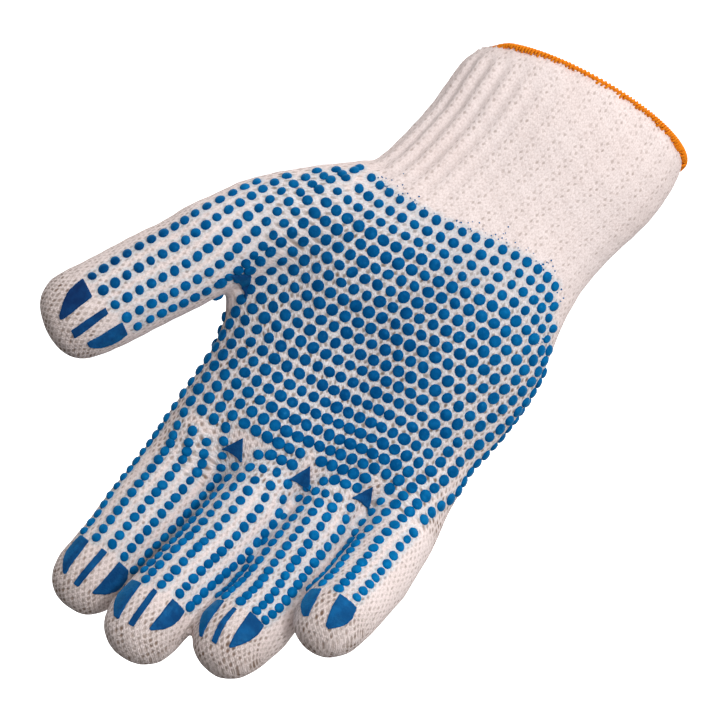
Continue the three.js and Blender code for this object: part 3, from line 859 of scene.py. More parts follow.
@dataclass
class Knit:
    """The seamless knit: cuff, palm, thumb and fingers, each a hollow piece of one skin.

    Attributes:
        voxel: face size of the skin, in metres.
        wall: thickness of the knit, in metres.
        passes: rounds of smoothing that turn the joined bodies into one cloth.
        wales: knit wales round the cuff and palm.
        rib: wales a rib of the cuff.
        course: height of one course of the hand and of a tube, in millimetres.
        plug: level, half width, half depth and thickness of the disc that shuts the cuff.
        rim_keep: share of the outline's reach within which the rim counts as inside.
        fatten: how far each solid swells to close the seams' gaps, in metres.
        lap: how far a body is moved over its seam, in metres.
        rim_heights: the knit's last two rows over the level of the mouth, in metres.
        bounce_reach: distance from a dot's middle where the painted blue bounce light starts to thin out
            and where it is gone.
        wrist: level where the cuff ends and the palm starts.
        rib_rise: height of the cuff's ribs away from the thumb, and how much more beside it.
        rib_side: place across the cuff where the ribs start to rise and are highest.
        rib_foot: levels where the ribs start below the cuff and are full.
        rib_head: levels below the mouth where they start and are full.
        lumps: height of the coarse and of the fine unevenness of the cloth.
        hand_open: how open the cuff's knit is, and how much more the palm's; more open knit gets darker
            painted shade in its holes.
        hand_open_drop: distance below the mouth where the knit starts to open and is fully open.
        tube_open: how open a finger's knit is, and how much more its tip's; more open knit gets darker
            painted shade in its holes.
        tip_open: distance before the fingertip where the knit starts to open and is fully open.
        own_reach: reach within which a point may belong to a tube.
        thumb_blend: distances before the thumb's root where its chart is written, starts to show and
            shows fully.
        thumb_reach: reach within which the thumb's chart is written, fades and is gone.
        finger_blend: the same distances at a finger's root, the last one past it.
        finger_reach: reach within which a finger's chart is written.
        seam_jump: wales between two corners of a face from which the chart is taken to run round.
        chunk: points charted at a time.
        pieces: the finished pieces.
        tubes: charts of the thumb and fingers.
        hand: chart of the cuff and palm.
        nodes: CAD nodes of the knit, in the order of the labels.
    """

    voxel: float = 0.00097
    wall: float = 0.0017
    passes: int = 14
    fatten: float = 0.00026
    lap: float = 0.0013
    rim_heights: tuple[float, float] = (-0.0004, 0.0016)
    wales: int = 132
    rib: int = 4
    course: tuple[float, float] = (1.38, 1.4)
    plug: tuple[float, float, float, float] = (-16.0, 39.6, 24.2, 2.4)
    rim_keep: float = 0.964
    bounce_reach: tuple[float, float] = (2.0, 3.3)
    wrist: float = -57.0
    rib_rise: tuple[float, float] = (0.03, 0.57)
    rib_side: tuple[float, float] = (6.0, -34.0)
    rib_foot: tuple[float, float] = (-66.0, -46.0)
    rib_head: tuple[float, float] = (-4.0, -13.0)
    lumps: tuple[float, float] = (0.16, 0.10)
    hand_open: tuple[float, float] = (0.08, 0.50)
    hand_open_drop: tuple[float, float] = (52.0, 84.0)
    tube_open: tuple[float, float] = (0.36, 0.64)
    tip_open: tuple[float, float] = (27.0, 5.0)
    own_reach: float = 1.4
    thumb_blend: tuple[float, float, float] = (45.0, 42.0, 2.0)
    thumb_reach: tuple[float, float, float] = (1.5, 1.1, 1.45)
    finger_blend: tuple[float, float, float] = (8.0, 7.0, 3.0)
    finger_reach: float = 1.3
    seam_jump: float = 8.0
    chunk: int = 4000
    pieces: list[bpy.types.Object] = field(default_factory=list)
    tubes: list[TubeMap] = field(default_factory=lambda: [TubeMap(tube) for tube in TUBES])
    hand: HandMap = field(default_factory=HandMap)
    nodes: tuple[str, ...] = ("cuff", "palm") + tuple(tube.name for tube in TUBES)

    def build(self) -> None:
        """Builds the skin, its charts and its pieces."""
        skin = self.skin()
        LOG.info("skin has %d faces", len(skin.polygons))
        self.crimp(skin)
        places = coordinates(skin)
        corners = np.empty(len(skin.loops), np.int32)
        skin.loops.foreach_get("vertex_index", corners)
        self.bvh = BVHTree.FromPolygons((places * MM).tolist(),
                                        corners.reshape(-1, 4).tolist())
        LOG.info("skin is searchable")
        self.chart(skin, places, corners)
        LOG.info("skin is charted")
        self.cut(skin, corners)

    def skin(self) -> bpy.types.Mesh:
        """Joins the knit bodies, shuts the cuff and takes one outer skin off them.

        Each body but the palm comes twice, once as it is and once moved a little over its seam, so
        that no gap between two solids is left in the skin.

        Returns:
            The skin, open at the cuff's mouth.
        """
        bm = bmesh.new()
        ways = {"cuff": Vector((0, 0, -1))}
        for tube in self.tubes:
            at_root = int(np.searchsorted(tube.run, tube.root))
            ways[tube.tube.name] = -Vector(tube.forward[at_root])
        for node in self.nodes:
            bm.from_mesh(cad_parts[node].data)
            if node in ways:
                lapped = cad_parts[node].data.copy()
                lapped.transform(Matrix.Translation(ways[node] * self.lap))
                bm.from_mesh(lapped)
                bpy.data.meshes.remove(lapped)
        bmesh.ops.remove_doubles(bm, verts=bm.verts, dist=WELD)
        bm.normal_update()
        for vert in bm.verts:
            vert.co += vert.normal * self.fatten
        level, wide, deep, thick = (value * MM for value in self.plug)
        place = Matrix.Translation((0, 0, level)) @ Matrix.Diagonal((wide, deep, thick, 1))
        bmesh.ops.create_cone(bm, cap_ends=True, segments=64, radius1=1, radius2=1, depth=1,
                              matrix=place)
        joined = bpy.data.meshes.new("joined")
        bm.to_mesh(joined)
        bm.free()
        skin = remeshed(joined, self.voxel)
        bm = bmesh.new()
        bm.from_mesh(skin)
        self.open_mouth(bm)
        relax(bm, [vert for vert in bm.verts if not vert.is_boundary], self.passes)
        bmesh.ops.recalc_face_normals(bm, faces=bm.faces)
        bm.to_mesh(skin)
        bm.free()
        return skin

    def open_mouth(self, bm: bmesh.types.BMesh) -> None:
        """Takes away the cuff's inner wall, the plug and the rim's top.

        Args:
            bm: the skin, changed in place.
        """
        top = (self.plug[0] - self.plug[3]) * MM
        high = [face for face in bm.faces if face.verts[0].co.z > top]
        middles = np.array([face.calc_center_median()[:] for face in high]) / MM
        _, reach = self.hand.chart(middles)
        inner = [face for face, out in zip(high, reach) if out < self.rim_keep]
        bmesh.ops.delete(bm, geom=inner, context="FACES")
        islands = sorted(self.islands(bm), key=len)
        for island in islands[:-1]:
            bmesh.ops.delete(bm, geom=island, context="VERTS")
        rim = [edge for edge in bm.edges if edge.is_boundary and edge.verts[0].co.z > top]
        lower = {vert for edge in rim for vert in edge.verts}
        raised = bmesh.ops.extrude_edge_only(bm, edges=rim)["geom"]
        upper = {item for item in raised if isinstance(item, bmesh.types.BMVert)}
        for verts, over in ((lower, self.rim_heights[0]), (upper, self.rim_heights[1])):
            for vert in verts:
                vert.co.z = self.hand.mouth(vert.co.x / MM, vert.co.y / MM) * MM + over

    @staticmethod
    def islands(bm: bmesh.types.BMesh) -> list[list[bmesh.types.BMVert]]:
        """Groups of joined vertices."""
        left = set(bm.verts)
        found = []
        while left:
            seed = left.pop()
            group, queue = [seed], [seed]
            while queue:
                for edge in queue.pop().link_edges:
                    for vert in edge.verts:
                        if vert in left:
                            left.remove(vert)
                            group.append(vert)
                            queue.append(vert)
            found.append(group)
        return found

    def crimp(self, skin: bpy.types.Mesh) -> None:
        """Raises the cuff's ribs, strongest on its thumb side, and a slight unevenness all over.

        Args:
            skin: the skin, changed in place.
        """
        places = coordinates(skin)
        normals = directions(skin)
        x, y, z = places.T
        share, _ = self.hand.chart(places)
        wave = np.cos(TAU * share * self.wales / self.rib)
        least, more = self.rib_rise
        strength = least + more * smoothstep(*self.rib_side, x)
        rise = wave * strength * smoothstep(*self.rib_foot, z) * smoothstep(*self.rib_head, z)
        coarse, fine = self.lumps
        rise += coarse * np.sin(x / 3.9 + 1.3 * np.sin(z / 9)) * np.sin(z / 6.1 + y / 5)
        rise += fine * np.sin(x / 1.9 + z / 2.7) * np.sin(z / 2.3 - y / 2.1)
        moved = (places + normals * rise[:, None]) * MM
        skin.vertices.foreach_set("co", moved.astype(np.float32).ravel())
        skin.update()

    def chart(self, skin: bpy.types.Mesh, places: np.ndarray, corners: np.ndarray) -> None:
        """Writes the two UV maps, the tubes' share of the pattern and how open the knit is, which also
        sets its painted shade.

        Args:
            skin: the skin.
            places: its vertices in millimetres.
            corners: vertex of each face corner.
        """
        share, _ = self.hand.chart(places)
        hand_uv = np.stack([share * self.wales, -places[:, 2] / self.course[0]], 1)
        tube_uv = hand_uv.copy()
        weight = np.zeros(len(places))
        # The openness also sets the painted shade of the knit's holes and creases, so the palm and the
        # fingertips, where it rises, are painted darker.
        least, more = self.hand_open
        openness_and_shade = least + more * smoothstep(*self.hand_open_drop, -places[:, 2])
        self.labels = np.where(places[:, 2] > self.wrist, 0, 1)
        nearest = np.full(len(places), self.own_reach)
        for number, tube in enumerate(self.tubes):
            near = np.nonzero(tube.near(places))[0]
            run, _, reach, wale, course = self.in_chunks(tube, places[near])
            root = tube.root
            thumb = tube.tube.name == "thumb"
            mine = (run > root) & (reach < nearest[near])
            nearest[near[mine]] = reach[mine]
            self.labels[near[mine]] = number + 2
            if thumb:
                written, starts, full = self.thumb_blend
                limit, fades, gone = self.thumb_reach
                mine = (run > root - written) & (reach < limit)
                part = smoothstep(root - starts, root - full, run) * (1 - smoothstep(fades, gone, reach))
            else:
                written, starts, full = self.finger_blend
                limit = np.minimum(nearest[near] + 1e-6, self.finger_reach)
                mine = (run > root - written) & (reach < limit)
                part = smoothstep(root - starts, root + full, run)
            chosen = near[mine]
            tube_uv[chosen, 0] = wale[mine] / TAU * tube.tube.wales
            tube_uv[chosen, 1] = course[mine] / self.course[1]
            weight[chosen] = part[mine]
            tip = smoothstep(*(tube.length - gap for gap in self.tip_open), run)
            least, more = self.tube_open
            openness_and_shade[chosen] = np.maximum(openness_and_shade[chosen] * (1 - part[mine]),
                                          (least + more * tip)[mine] * part[mine])
        for name, values in (("openness_and_shade", openness_and_shade), ("tube_share", weight)):
            attribute = skin.attributes.new(name, "FLOAT", "POINT")
            attribute.data.foreach_set("value", values.astype(np.float32))
        for name, chart in (("hand_knit", hand_uv), ("tube_knit", tube_uv)):
            uv = chart[corners].reshape(-1, 4, 2)
            gap = uv[:, :, 0] - uv[:, :1, 0]
            uv[:, :, 0] -= np.where(np.abs(gap) > self.seam_jump, np.round(gap), 0)
            layer = skin.uv_layers.new(name=name)
            layer.data.foreach_set("uv", uv.astype(np.float32).ravel())

    def in_chunks(self, tube: TubeMap, places: np.ndarray) -> tuple[np.ndarray, ...]:
        """Charts many points a few thousand at a time."""
        parts = [tube.chart(places[k:k + self.chunk]) for k in range(0, len(places), self.chunk)]
        return tuple(np.concatenate(column) for column in zip(*parts))

    def cut(self, skin: bpy.types.Mesh, corners: np.ndarray) -> None:
        """Parts the skin at the tubes' roots and gives each piece its wall.

        Args:
            skin: the charted skin.
            corners: vertex of each face corner.
        """
        finish = CottonKnit().make()
        face_label = self.labels[corners].reshape(-1, 4).min(axis=1)
        normals = directions(skin)
        for number, node in enumerate(self.nodes):
            kept = face_label == number
            bm = bmesh.new()
            bm.from_mesh(skin)
            bm.faces.ensure_lookup_table()
            others = [bm.faces[k] for k in np.nonzero(~kept)[0]]
            bmesh.ops.delete(bm, geom=others, context="FACES")
            mesh = bpy.data.meshes.new(f"{node}_knit")
            bm.to_mesh(mesh)
            bm.free()
            held = np.unique(corners.reshape(-1, 4)[kept])
            walled = self.thicken(mesh, normals[held])
            piece = mesh_object(f"{node}_knit", walled, finish)
            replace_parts(piece, node)
            self.pieces.append(piece)
            LOG.info("%s: %d faces", piece.name, len(piece.data.polygons))

    def blue_bounce(self, spots: list[Vector]) -> None:
        """Writes how much painted blue bounce light from a print tints the knit beside it.

        Args:
            spots: middles of the printed dots, in metres.
        """
        tree = KDTree(len(spots))
        for number, spot in enumerate(spots):
            tree.insert(spot, number)
        tree.balance()
        near, far = self.bounce_reach
        for piece in self.pieces:
            gaps = np.array([tree.find(vert.co)[2] for vert in piece.data.vertices]) / MM
            attribute = piece.data.attributes.new("blue_bounce", "FLOAT", "POINT")
            attribute.data.foreach_set("value", smoothstep(far, near, gaps).astype(np.float32))

    def thicken(self, mesh: bpy.types.Mesh, normals: np.ndarray) -> bpy.types.Mesh:
        """Gives a piece of skin its wall, inward, shaded as the whole skin is.

        Args:
            mesh: the piece of skin.
            normals: the whole skin's normals at its vertices.

        Returns:
            The closed wall.
        """
        faces = len(mesh.polygons)
        holder = bpy.data.objects.new("wall", mesh)
        bpy.context.collection.objects.link(holder)
        wall = holder.modifiers.new("wall", "SOLIDIFY")
        wall.thickness = self.wall
        wall.offset = -1
        wall.use_rim = True
        evaluated = holder.evaluated_get(bpy.context.evaluated_depsgraph_get())
        result = bpy.data.meshes.new_from_object(evaluated)
        result.name = mesh.name
        bpy.data.objects.remove(holder)
        sheets = np.arange(len(result.polygons)) < 2 * faces
        result.polygons.foreach_set("use_smooth", sheets)
        both = np.concatenate([normals, -normals])
        result.normals_split_custom_set_from_vertices(both.tolist())
        return result


@dataclass(frozen=True)
class Column:
    """One column of dots on a finger.

    Attributes:
        number: the column's place in the print, counted across the palm.
        root: angle at the finger's root, in degrees.
        middle: angle half way along the finger.
        tip: angle at the last dot.
        stop: distance of the last dot from the fingertip, in millimetres.
    """

    number: int
    root: float
    middle: float
    tip: float
    stop: float


@dataclass(frozen=True)
class FingerPrint:
    """Dots of one finger.

    Attributes:
        columns: the columns, from the thumb's side on.
        palm_end: level where the palm's lattice gives way to the finger's columns.
        pitch: distance from the last dot to the one before it, in millimetres.
        growth: how much the distance grows with each dot toward the root.
    """

    columns: tuple[Column, ...]
    palm_end: float
    pitch: float
    growth: float


FINGER_PRINTS = {
    "index_finger": FingerPrint((
        Column(-11, -70, -67, -56, 22.0), Column(-10, -30, -28, -26, 22.5),
        Column(-9, -2, -1, 0, 24.0), Column(-8, 24, 24, 26, 23.5), Column(-7, 55, 55, 54, 22.5)),
        palm_end=-160.0, pitch=3.45, growth=0.06),
    "middle_finger": FingerPrint((
        Column(-5, -52, -47, -43, 24.5), Column(-4, -19, -22, -25, 21.8),
        Column(-3, 5, 3, 1, 23.2), Column(-2, 37, 33, 29, 24.8), Column(-1, 76, 66, 54, 24.4)),
        palm_end=-156.0, pitch=3.1, growth=0.09),
    "ring_finger": FingerPrint((
        Column(1, -54, -54, -55, 19.5), Column(2, -22, -28, -33, 19.0),
        Column(3, 1, -1, -4, 19.5), Column(4, 26, 24, 22, 20.5), Column(5, 64, 50, 40, 20.5)),
        palm_end=-152.0, pitch=2.95, growth=0.09),
    "little_finger": FingerPrint((
        Column(7, -60, -60, -60, 16.0), Column(8, -38, -32, -26, 15.5),
        Column(9, -2, 1, 4, 15.0), Column(10, 33, 33, 33, 16.5)),
        palm_end=-147.0, pitch=3.7, growth=0.06),
}


@dataclass
class DotPrint:
    """The print's dots, one lattice over the palm side that runs out into columns on the fingers.

    arcs, levels, thumb_backs and thumb_angles are the result of a least-squares fit, not charted by
    hand.

    Attributes:
        knit: the knit that carries the dots.
        radius: of a dot of the palm, in millimetres.
        slim: size of the dots of the fingers and the first rows, as a share of the palm's.
        height: of a dot over the knit.
        base: how deep a dot sinks into the knit, as a share of its height.
        spread: how unevenly the dots are sized.
        seed: of the random sizes and turns.
        fullness: exponent that fills out a dot's sides, 1 for a ball.
        squash: least and greatest width of a dot as a share of its size.
        lean: how far a dot leans, at most.
        across, down: columns and rows of the palm's lattice that its tables give.
        arcs, levels: millimetres round the outline and level at those columns and rows.
        thumb_across, thumb_down: the same columns and rows of the thumb's lattice.
        thumb_backs, thumb_angles: distance from the thumb's tip and angle round it, in degrees.
        thumb_starts, thumb_ends: first row of a column of the thumb and how near the tip it stops.
        thumb_rows: most rows of a column of the thumb.
        columns, rows: first column of the palm, one past the last, and most rows of a column.
        first_level: level above which the palm's dots are small.
        first_rows: first row of the columns that start late.
        ends: level where the columns that run into a crotch stop.
        side_on: how far a normal points sideways where the aim starts to follow it and fully does.
        drop_from: where the drop onto the palm starts, in front of it and less at its sides.
        drop_reach: how far a dot of the palm, and one of the thumb or a speck, is dropped.
        thumb_from, speck_from: where the drops onto the thumb and of a speck start.
        past_skin: how far a finger's dot is looked for, in radii of the finger.
        least_gap: smallest distance to the palm's last dot, in pitches.
        settle: length over which a column turns from the palm's last dot to its own angle.
        drops: number of specks.
        drop_columns: columns between which they lie.
        drop_size: their least and greatest radius.
        drop_height: their height as a share of a dot's.
        drop_scatter: spread over the first row, least distance over it and spread round the outline.
        drop_slope: column from which the first rows start lower, and how much lower a column.
    """

    knit: Knit
    radius: float = 2.05
    slim: float = 0.85
    height: float = 1.15
    base: float = 0.3
    spread: float = 0.08
    seed: int = 7
    fullness: float = 0.8
    squash: tuple[float, float] = (0.86, 1.05)
    lean: float = 0.1
    across: tuple[float, ...] = (-12, -7, -2, 3, 10)
    down: tuple[float, ...] = (0, 7, 14, 21)
    arcs: tuple[tuple[float, ...], ...] = (
        (-42.7, -45.2, -52.8, -56.0), (-20.2, -21.0, -27.3, -28.1), (1.9, 1.9, -4.7, -7.1),
        (24.0, 25.0, 16.0, 10.5), (52.1, 59.8, 51.2, 42.3))
    levels: tuple[tuple[float, ...], ...] = (
        (-61.7, -96.6, -127.3, -160.9), (-63.3, -96.5, -129.3, -161.5), (-60.0, -92.9, -127.0, -160.0),
        (-57.1, -89.3, -123.5, -155.5), (-76.0, -98.0, -124.4, -148.4))
    thumb_across: tuple[float, ...] = (-17, -15, -13)
    thumb_down: tuple[float, ...] = (1, 6, 11, 16, 21)
    thumb_backs: tuple[tuple[float, ...], ...] = (
        (100.9, 80.2, 61.3, 39.5, 16.5), (103.7, 82.6, 63.2, 41.7, 18.9),
        (106.4, 85.3, 64.7, 44.2, 22.1))
    thumb_angles: tuple[tuple[float, ...], ...] = (
        (-110.7, -57.5, -44.9, -39.8, -28.4), (-60.2, -22.1, 1.5, 10.6, 16.3),
        (-35.9, 8.3, 47.4, 55.3, 59.4))
    thumb_ends: dict[int, float] = field(
        default_factory=lambda: {-17: 18.5, -16: 19.5, -15: 23.0, -14: 23.0, -13: 23.0})
    thumb_rows: int = 24
    columns: tuple[int, int] = (-12, 11)
    rows: int = 30
    first_level: float = -74.0
    side_on: tuple[float, float] = (0.55, 0.85)
    drop_from: tuple[float, float] = (25.0, 17.0)
    drop_reach: tuple[float, float] = (60.0, 30.0)
    thumb_from: float = 12.0
    speck_from: float = 10.0
    past_skin: float = 1.3
    least_gap: float = 0.78
    settle: float = 16.0
    drops: int = 90
    drop_columns: tuple[float, float] = (-11.0, 9.0)
    drop_size: tuple[float, float] = (0.16, 0.34)
    drop_height: float = 0.35
    drop_scatter: tuple[float, float, float] = (2.2, 0.8, 2.0)
    drop_slope: tuple[float, float] = (5.0, -4.2)
    thumb_starts: dict[int, int] = field(
        default_factory=lambda: {-17: 6, -16: 4, -15: 2, -14: 1, -13: 0})
    first_rows: dict[int, int] = field(
        default_factory=lambda: {6: 1, 7: 2, 8: 3, 9: 4, 10: 5})
    ends: dict[int, float] = field(
        default_factory=lambda: {-12: -137.0, -6: -153.0, 0: -148.5, 6: -142.5})

    def __post_init__(self) -> None:
        """Makes the seeded random source and the dot that all others are cast from."""
        self.random = random.Random(self.seed)
        bm = bmesh.new()
        bmesh.ops.create_uvsphere(bm, u_segments=12, v_segments=6, radius=1)
        for vert in bm.verts:
            out = math.hypot(vert.co.x, vert.co.y)
            if out > 0:
                fuller = out ** self.fullness / out
                vert.co.x *= fuller
                vert.co.y *= fuller
        cut = bmesh.ops.bisect_plane(bm, geom=bm.verts[:] + bm.edges[:] + bm.faces[:],
                                     plane_co=(0, 0, -self.base), plane_no=(0, 0, 1),
                                     clear_inner=True)
        rim = [item for item in cut["geom_cut"] if isinstance(item, bmesh.types.BMEdge)]
        bmesh.ops.contextual_create(bm, geom=rim)
        bmesh.ops.recalc_face_normals(bm, faces=bm.faces)
        self.template = bpy.data.meshes.new("dot")
        bm.to_mesh(self.template)
        bm.free()

    @staticmethod
    def weights(nodes: tuple[float, ...], value: float) -> np.ndarray:
        """Lagrange weights of a row of nodes."""
        result = []
        for m, here in enumerate(nodes):
            factors = [(value - other) / (here - other) for n, other in enumerate(nodes) if n != m]
            result.append(math.prod(factors))
        return np.array(result)

    def net(self, across: tuple[float, ...], down: tuple[float, ...], table: tuple, column: float,
            row: float) -> float:
        """Value of a small table at a column and row of the print."""
        return float(self.weights(across, column) @ np.array(table) @ self.weights(down, row))

    def palm_spot(self, column: int, row: int) -> tuple[Vector, Vector] | None:
        """Place of a dot of the palm on the knit and the knit's normal there."""
        arc = self.net(self.across, self.down, self.arcs, column, row)
        level = self.net(self.across, self.down, self.levels, column, row)
        place, inward = self.knit.hand.point(arc, level)
        sideways = float(smoothstep(*self.side_on, np.array(abs(inward.x))))
        aim = Vector((0, 1, 0)).lerp(inward, sideways).normalized()
        front, less = self.drop_from
        return self.land(place - aim * (front - less * sideways), aim, self.drop_reach[0])

    def land(self, start: Vector, aim: Vector, reach: float) -> tuple[Vector, Vector] | None:
        """Drops a place onto the knit.

        Args:
            start: where the drop begins, in millimetres.
            aim: its direction.
            reach: how far it goes, in millimetres.

        Returns:
            The place on the knit and the knit's outward normal there, or None where it misses.
        """
        spot, normal, _, _ = self.knit.bvh.ray_cast(start * MM, aim, reach * MM)
        if spot is None:
            return None
        return spot, normal

    def tube_spot(self, tube: TubeMap, run: float, degrees: float) -> tuple[Vector, Vector] | None:
        """Place and normal on a tube, found from its centre line outward."""
        place, inward = tube.point(run, math.radians(degrees))
        centre, _ = tube.point(run, math.radians(degrees), 0)
        gap = (place - centre).length
        return self.land(centre, (place - centre).normalized(), gap * self.past_skin)

    def spots(self) -> dict[str, list[tuple[Vector, Vector]]]:
        """Places and normals of all dots, by region."""
        found = {"palm": [], "thumb": self.thumb_spots()}
        owner = {column.number: (name, column) for name, finger in FINGER_PRINTS.items()
                 for column in finger.columns}
        tubes = {tube.tube.name: tube for tube in self.knit.tubes}
        for number in range(*self.columns):
            name, column = owner.get(number, ("palm", None))
            end = FINGER_PRINTS[name].palm_end if column else self.ends[number]
            last = None
            for row in range(self.first_rows.get(number, 0), self.rows):
                spot = self.palm_spot(number, row)
                if spot is None:
                    continue
                if spot[0].z / MM < end:
                    break
                found["palm"].append(spot)
                last = spot[0] / MM
            if column:
                found.setdefault(name, [])
                found[name] += self.finger_spots(tubes[name], FINGER_PRINTS[name], column, last)
        return found

    def specks(self, bm: bmesh.types.BMesh) -> None:
        """Spatters small drops of the print over its first rows."""
        rand = self.random
        above, least, round_it = self.drop_scatter
        sloped, slope = self.drop_slope
        for _ in range(self.drops):
            column = rand.uniform(*self.drop_columns)
            arc = self.net(self.across, self.down, self.arcs, column, 0)
            level = self.net(self.across, self.down, self.levels, column, 0)
            level += abs(rand.gauss(0, above)) + least + max(column - sloped, 0) * slope
            place, inward = self.knit.hand.point(arc + rand.uniform(-round_it, round_it), level)
            spot = self.land(place - inward * self.speck_from, inward, self.drop_reach[1])
            if spot:
                self.dot(bm, *spot, rand.uniform(*self.drop_size), self.drop_height)

    def finger_spots(self, tube: TubeMap, finger: FingerPrint, column: Column, last: Vector) -> list:
        """Dots of one column, from near the fingertip back to the palm's last dot.

        Args:
            tube: the finger.
            finger: its print.
            column: the column.
            last: place of the palm's last dot in the column, in millimetres.

        Returns:
            The dots' places and normals.
        """
        start, angle = (float(v[0]) for v in tube.chart(np.array([last[:]]))[:2])
        stop = tube.length - column.stop
        count = 0
        run = stop
        spots = []
        while run > start + self.least_gap * (finger.pitch + finger.growth * count):
            share = (run - start) / (stop - start)
            aim = float(np.interp(share, (0, 0.5, 1), (column.root, column.middle, column.tip)))
            settle = min((run - start) / self.settle, 1)
            aim = math.degrees(angle) * (1 - settle) + aim * settle
            spot = self.tube_spot(tube, run, aim)
            if spot:
                spots.append(spot)
            run -= finger.pitch + finger.growth * count
            count += 1
        return spots

    def thumb_spots(self) -> list:
        """Dots of the thumb's five columns, from the print's edge to near the tip."""
        tube = self.knit.tubes[0]
        spots = []
        for column, first in self.thumb_starts.items():
            for row in range(first, self.thumb_rows):
                back = self.net(self.thumb_across, self.thumb_down, self.thumb_backs, column, row)
                angle = self.net(self.thumb_across, self.thumb_down, self.thumb_angles, column, row)
                if back < self.thumb_ends[column]:
                    break
                place, inward = tube.point(tube.length - back, math.radians(angle))
                spot = self.land(place - inward * self.thumb_from, inward, self.drop_reach[1])
                if spot:
                    spots.append(spot)
        return spots

    def build(self) -> None:
        """Builds the dots of each region as one piece."""
        finish = PrintedPvc().make()
        regions = self.spots()
        self.knit.blue_bounce([place for spots in regions.values() for place, _ in spots])
        for name, spots in regions.items():
            bm = bmesh.new()
            for place, normal in spots:
                small = name != "palm" or place.z > self.first_level * MM
                self.dot(bm, place, normal, self.radius * (self.slim if small else 1))
            if name == "palm":
                self.specks(bm)
            mesh = bpy.data.meshes.new(f"{name}_dots")
            bm.to_mesh(mesh)
            bm.free()
            mesh_object(f"{name}_dots", mesh, finish)
            LOG.info("%s dots: %d", name, len(spots))

    def dot(self, bm: bmesh.types.BMesh, place: Vector, normal: Vector, radius: float,
            lift: float = 1.0) -> None:
        """Adds one printed dot, a low dome with a slightly uneven outline.

        Args:
            bm: the region's dots.
            place: the dot's middle on the knit, in metres.
            normal: the knit's normal there.
            radius: the dot's radius in millimetres.
            lift: share of the dots' usual height.
        """
        rand = self.random
        size = radius * MM * (1 + rand.uniform(-self.spread, self.spread))
        turn = normal.to_track_quat("Z", "X").to_matrix().to_4x4()
        spin = Matrix.Rotation(rand.uniform(0, TAU), 4, "Z")
        slant = (rand.uniform(-self.lean, self.lean), rand.uniform(-self.lean, self.lean))
        lean = Matrix.Shear("XZ", 4, slant)
        wide = size * rand.uniform(*self.squash)
        shape = Matrix.Diagonal((wide, size, self.height * lift * MM, 1))
        cast = self.template.copy()
        cast.transform(Matrix.Translation(place) @ turn @ spin @ lean @ shape)
        bm.from_mesh(cast)
        bpy.data.meshes.remove(cast)


@dataclass
class BlockPrints:
    """The solid prints on the fingertips and above the crotches.

    Attributes:
        knit: the knit that carries them.
        voxel: face size, in metres.
        passes: rounds of smoothing.
        lift: height of the print's top over the knit, in millimetres.
        crotch: how much higher the prints above the crotches stand.
        gap: the CAD solids' clearance and thickness, in millimetres.
        facing: over a hollow, how the height follows the print's own normal: factor and offset.
        weave: relief of the knit under these prints, in metres.
        deep, bright: colours of these thicker prints.
    """

    knit: Knit
    voxel: float = 0.00034
    passes: int = 4
    lift: float = 0.75
    crotch: float = 1.5
    gap: tuple[float, float] = (0.3, 0.8)
    facing: tuple[float, float] = (0.9, 0.5)
    weave: float = 0.0003
    deep: tuple[float, float, float] = (0.006, 0.08, 0.23)
    bright: tuple[float, float, float] = (0.008, 0.14, 0.36)

    def build(self) -> None:
        """Rounds each printed block and seats it on the knit."""
        finish = PrintedPvc(deep=self.deep, bright=self.bright, weave=self.weave).make()
        for node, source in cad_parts.items():
            if "_print" not in node:
                continue
            bm = bmesh.new()
            bm.from_mesh(source.data)
            bmesh.ops.remove_doubles(bm, verts=bm.verts, dist=WELD)
            joined = bpy.data.meshes.new("block")
            bm.to_mesh(joined)
            bm.free()
            mesh = remeshed(joined, self.voxel)
            bm = bmesh.new()
            bm.from_mesh(mesh)
            bmesh.ops.recalc_face_normals(bm, faces=bm.faces)
            relax(bm, bm.verts[:], self.passes)
            crotch = "crotch" in node
            bm.normal_update()
            for vert in bm.verts:
                self.seat(vert, self.lift * (self.crotch if crotch else 1), crotch)
            bm.to_mesh(mesh)
            bm.free()
            piece = mesh_object(f"{node}_pvc", mesh, finish)
            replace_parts(piece, node)
        LOG.info("block prints done")

    def seat(self, vert: bmesh.types.BMVert, lift: float, hollow: bool) -> None:
        """Moves a point of a print to its height over the knit.

        Args:
            vert: the point.
            lift: height of the print's top, in millimetres.
            hollow: whether the print lies in a hollow that the cloth bridges.
        """
        spot, normal, _, _ = self.knit.bvh.find_nearest(vert.co)
        over = (vert.co - spot).dot(normal) / MM
        share = (over - self.gap[0]) / self.gap[1]
        if hollow:
            share = vert.normal.dot(normal) * self.facing[0] + self.facing[1]
        share = min(max(share, 0), 1)
        vert.co = spot + normal * (share * (lift + self.gap[0]) - self.gap[0]) * MM


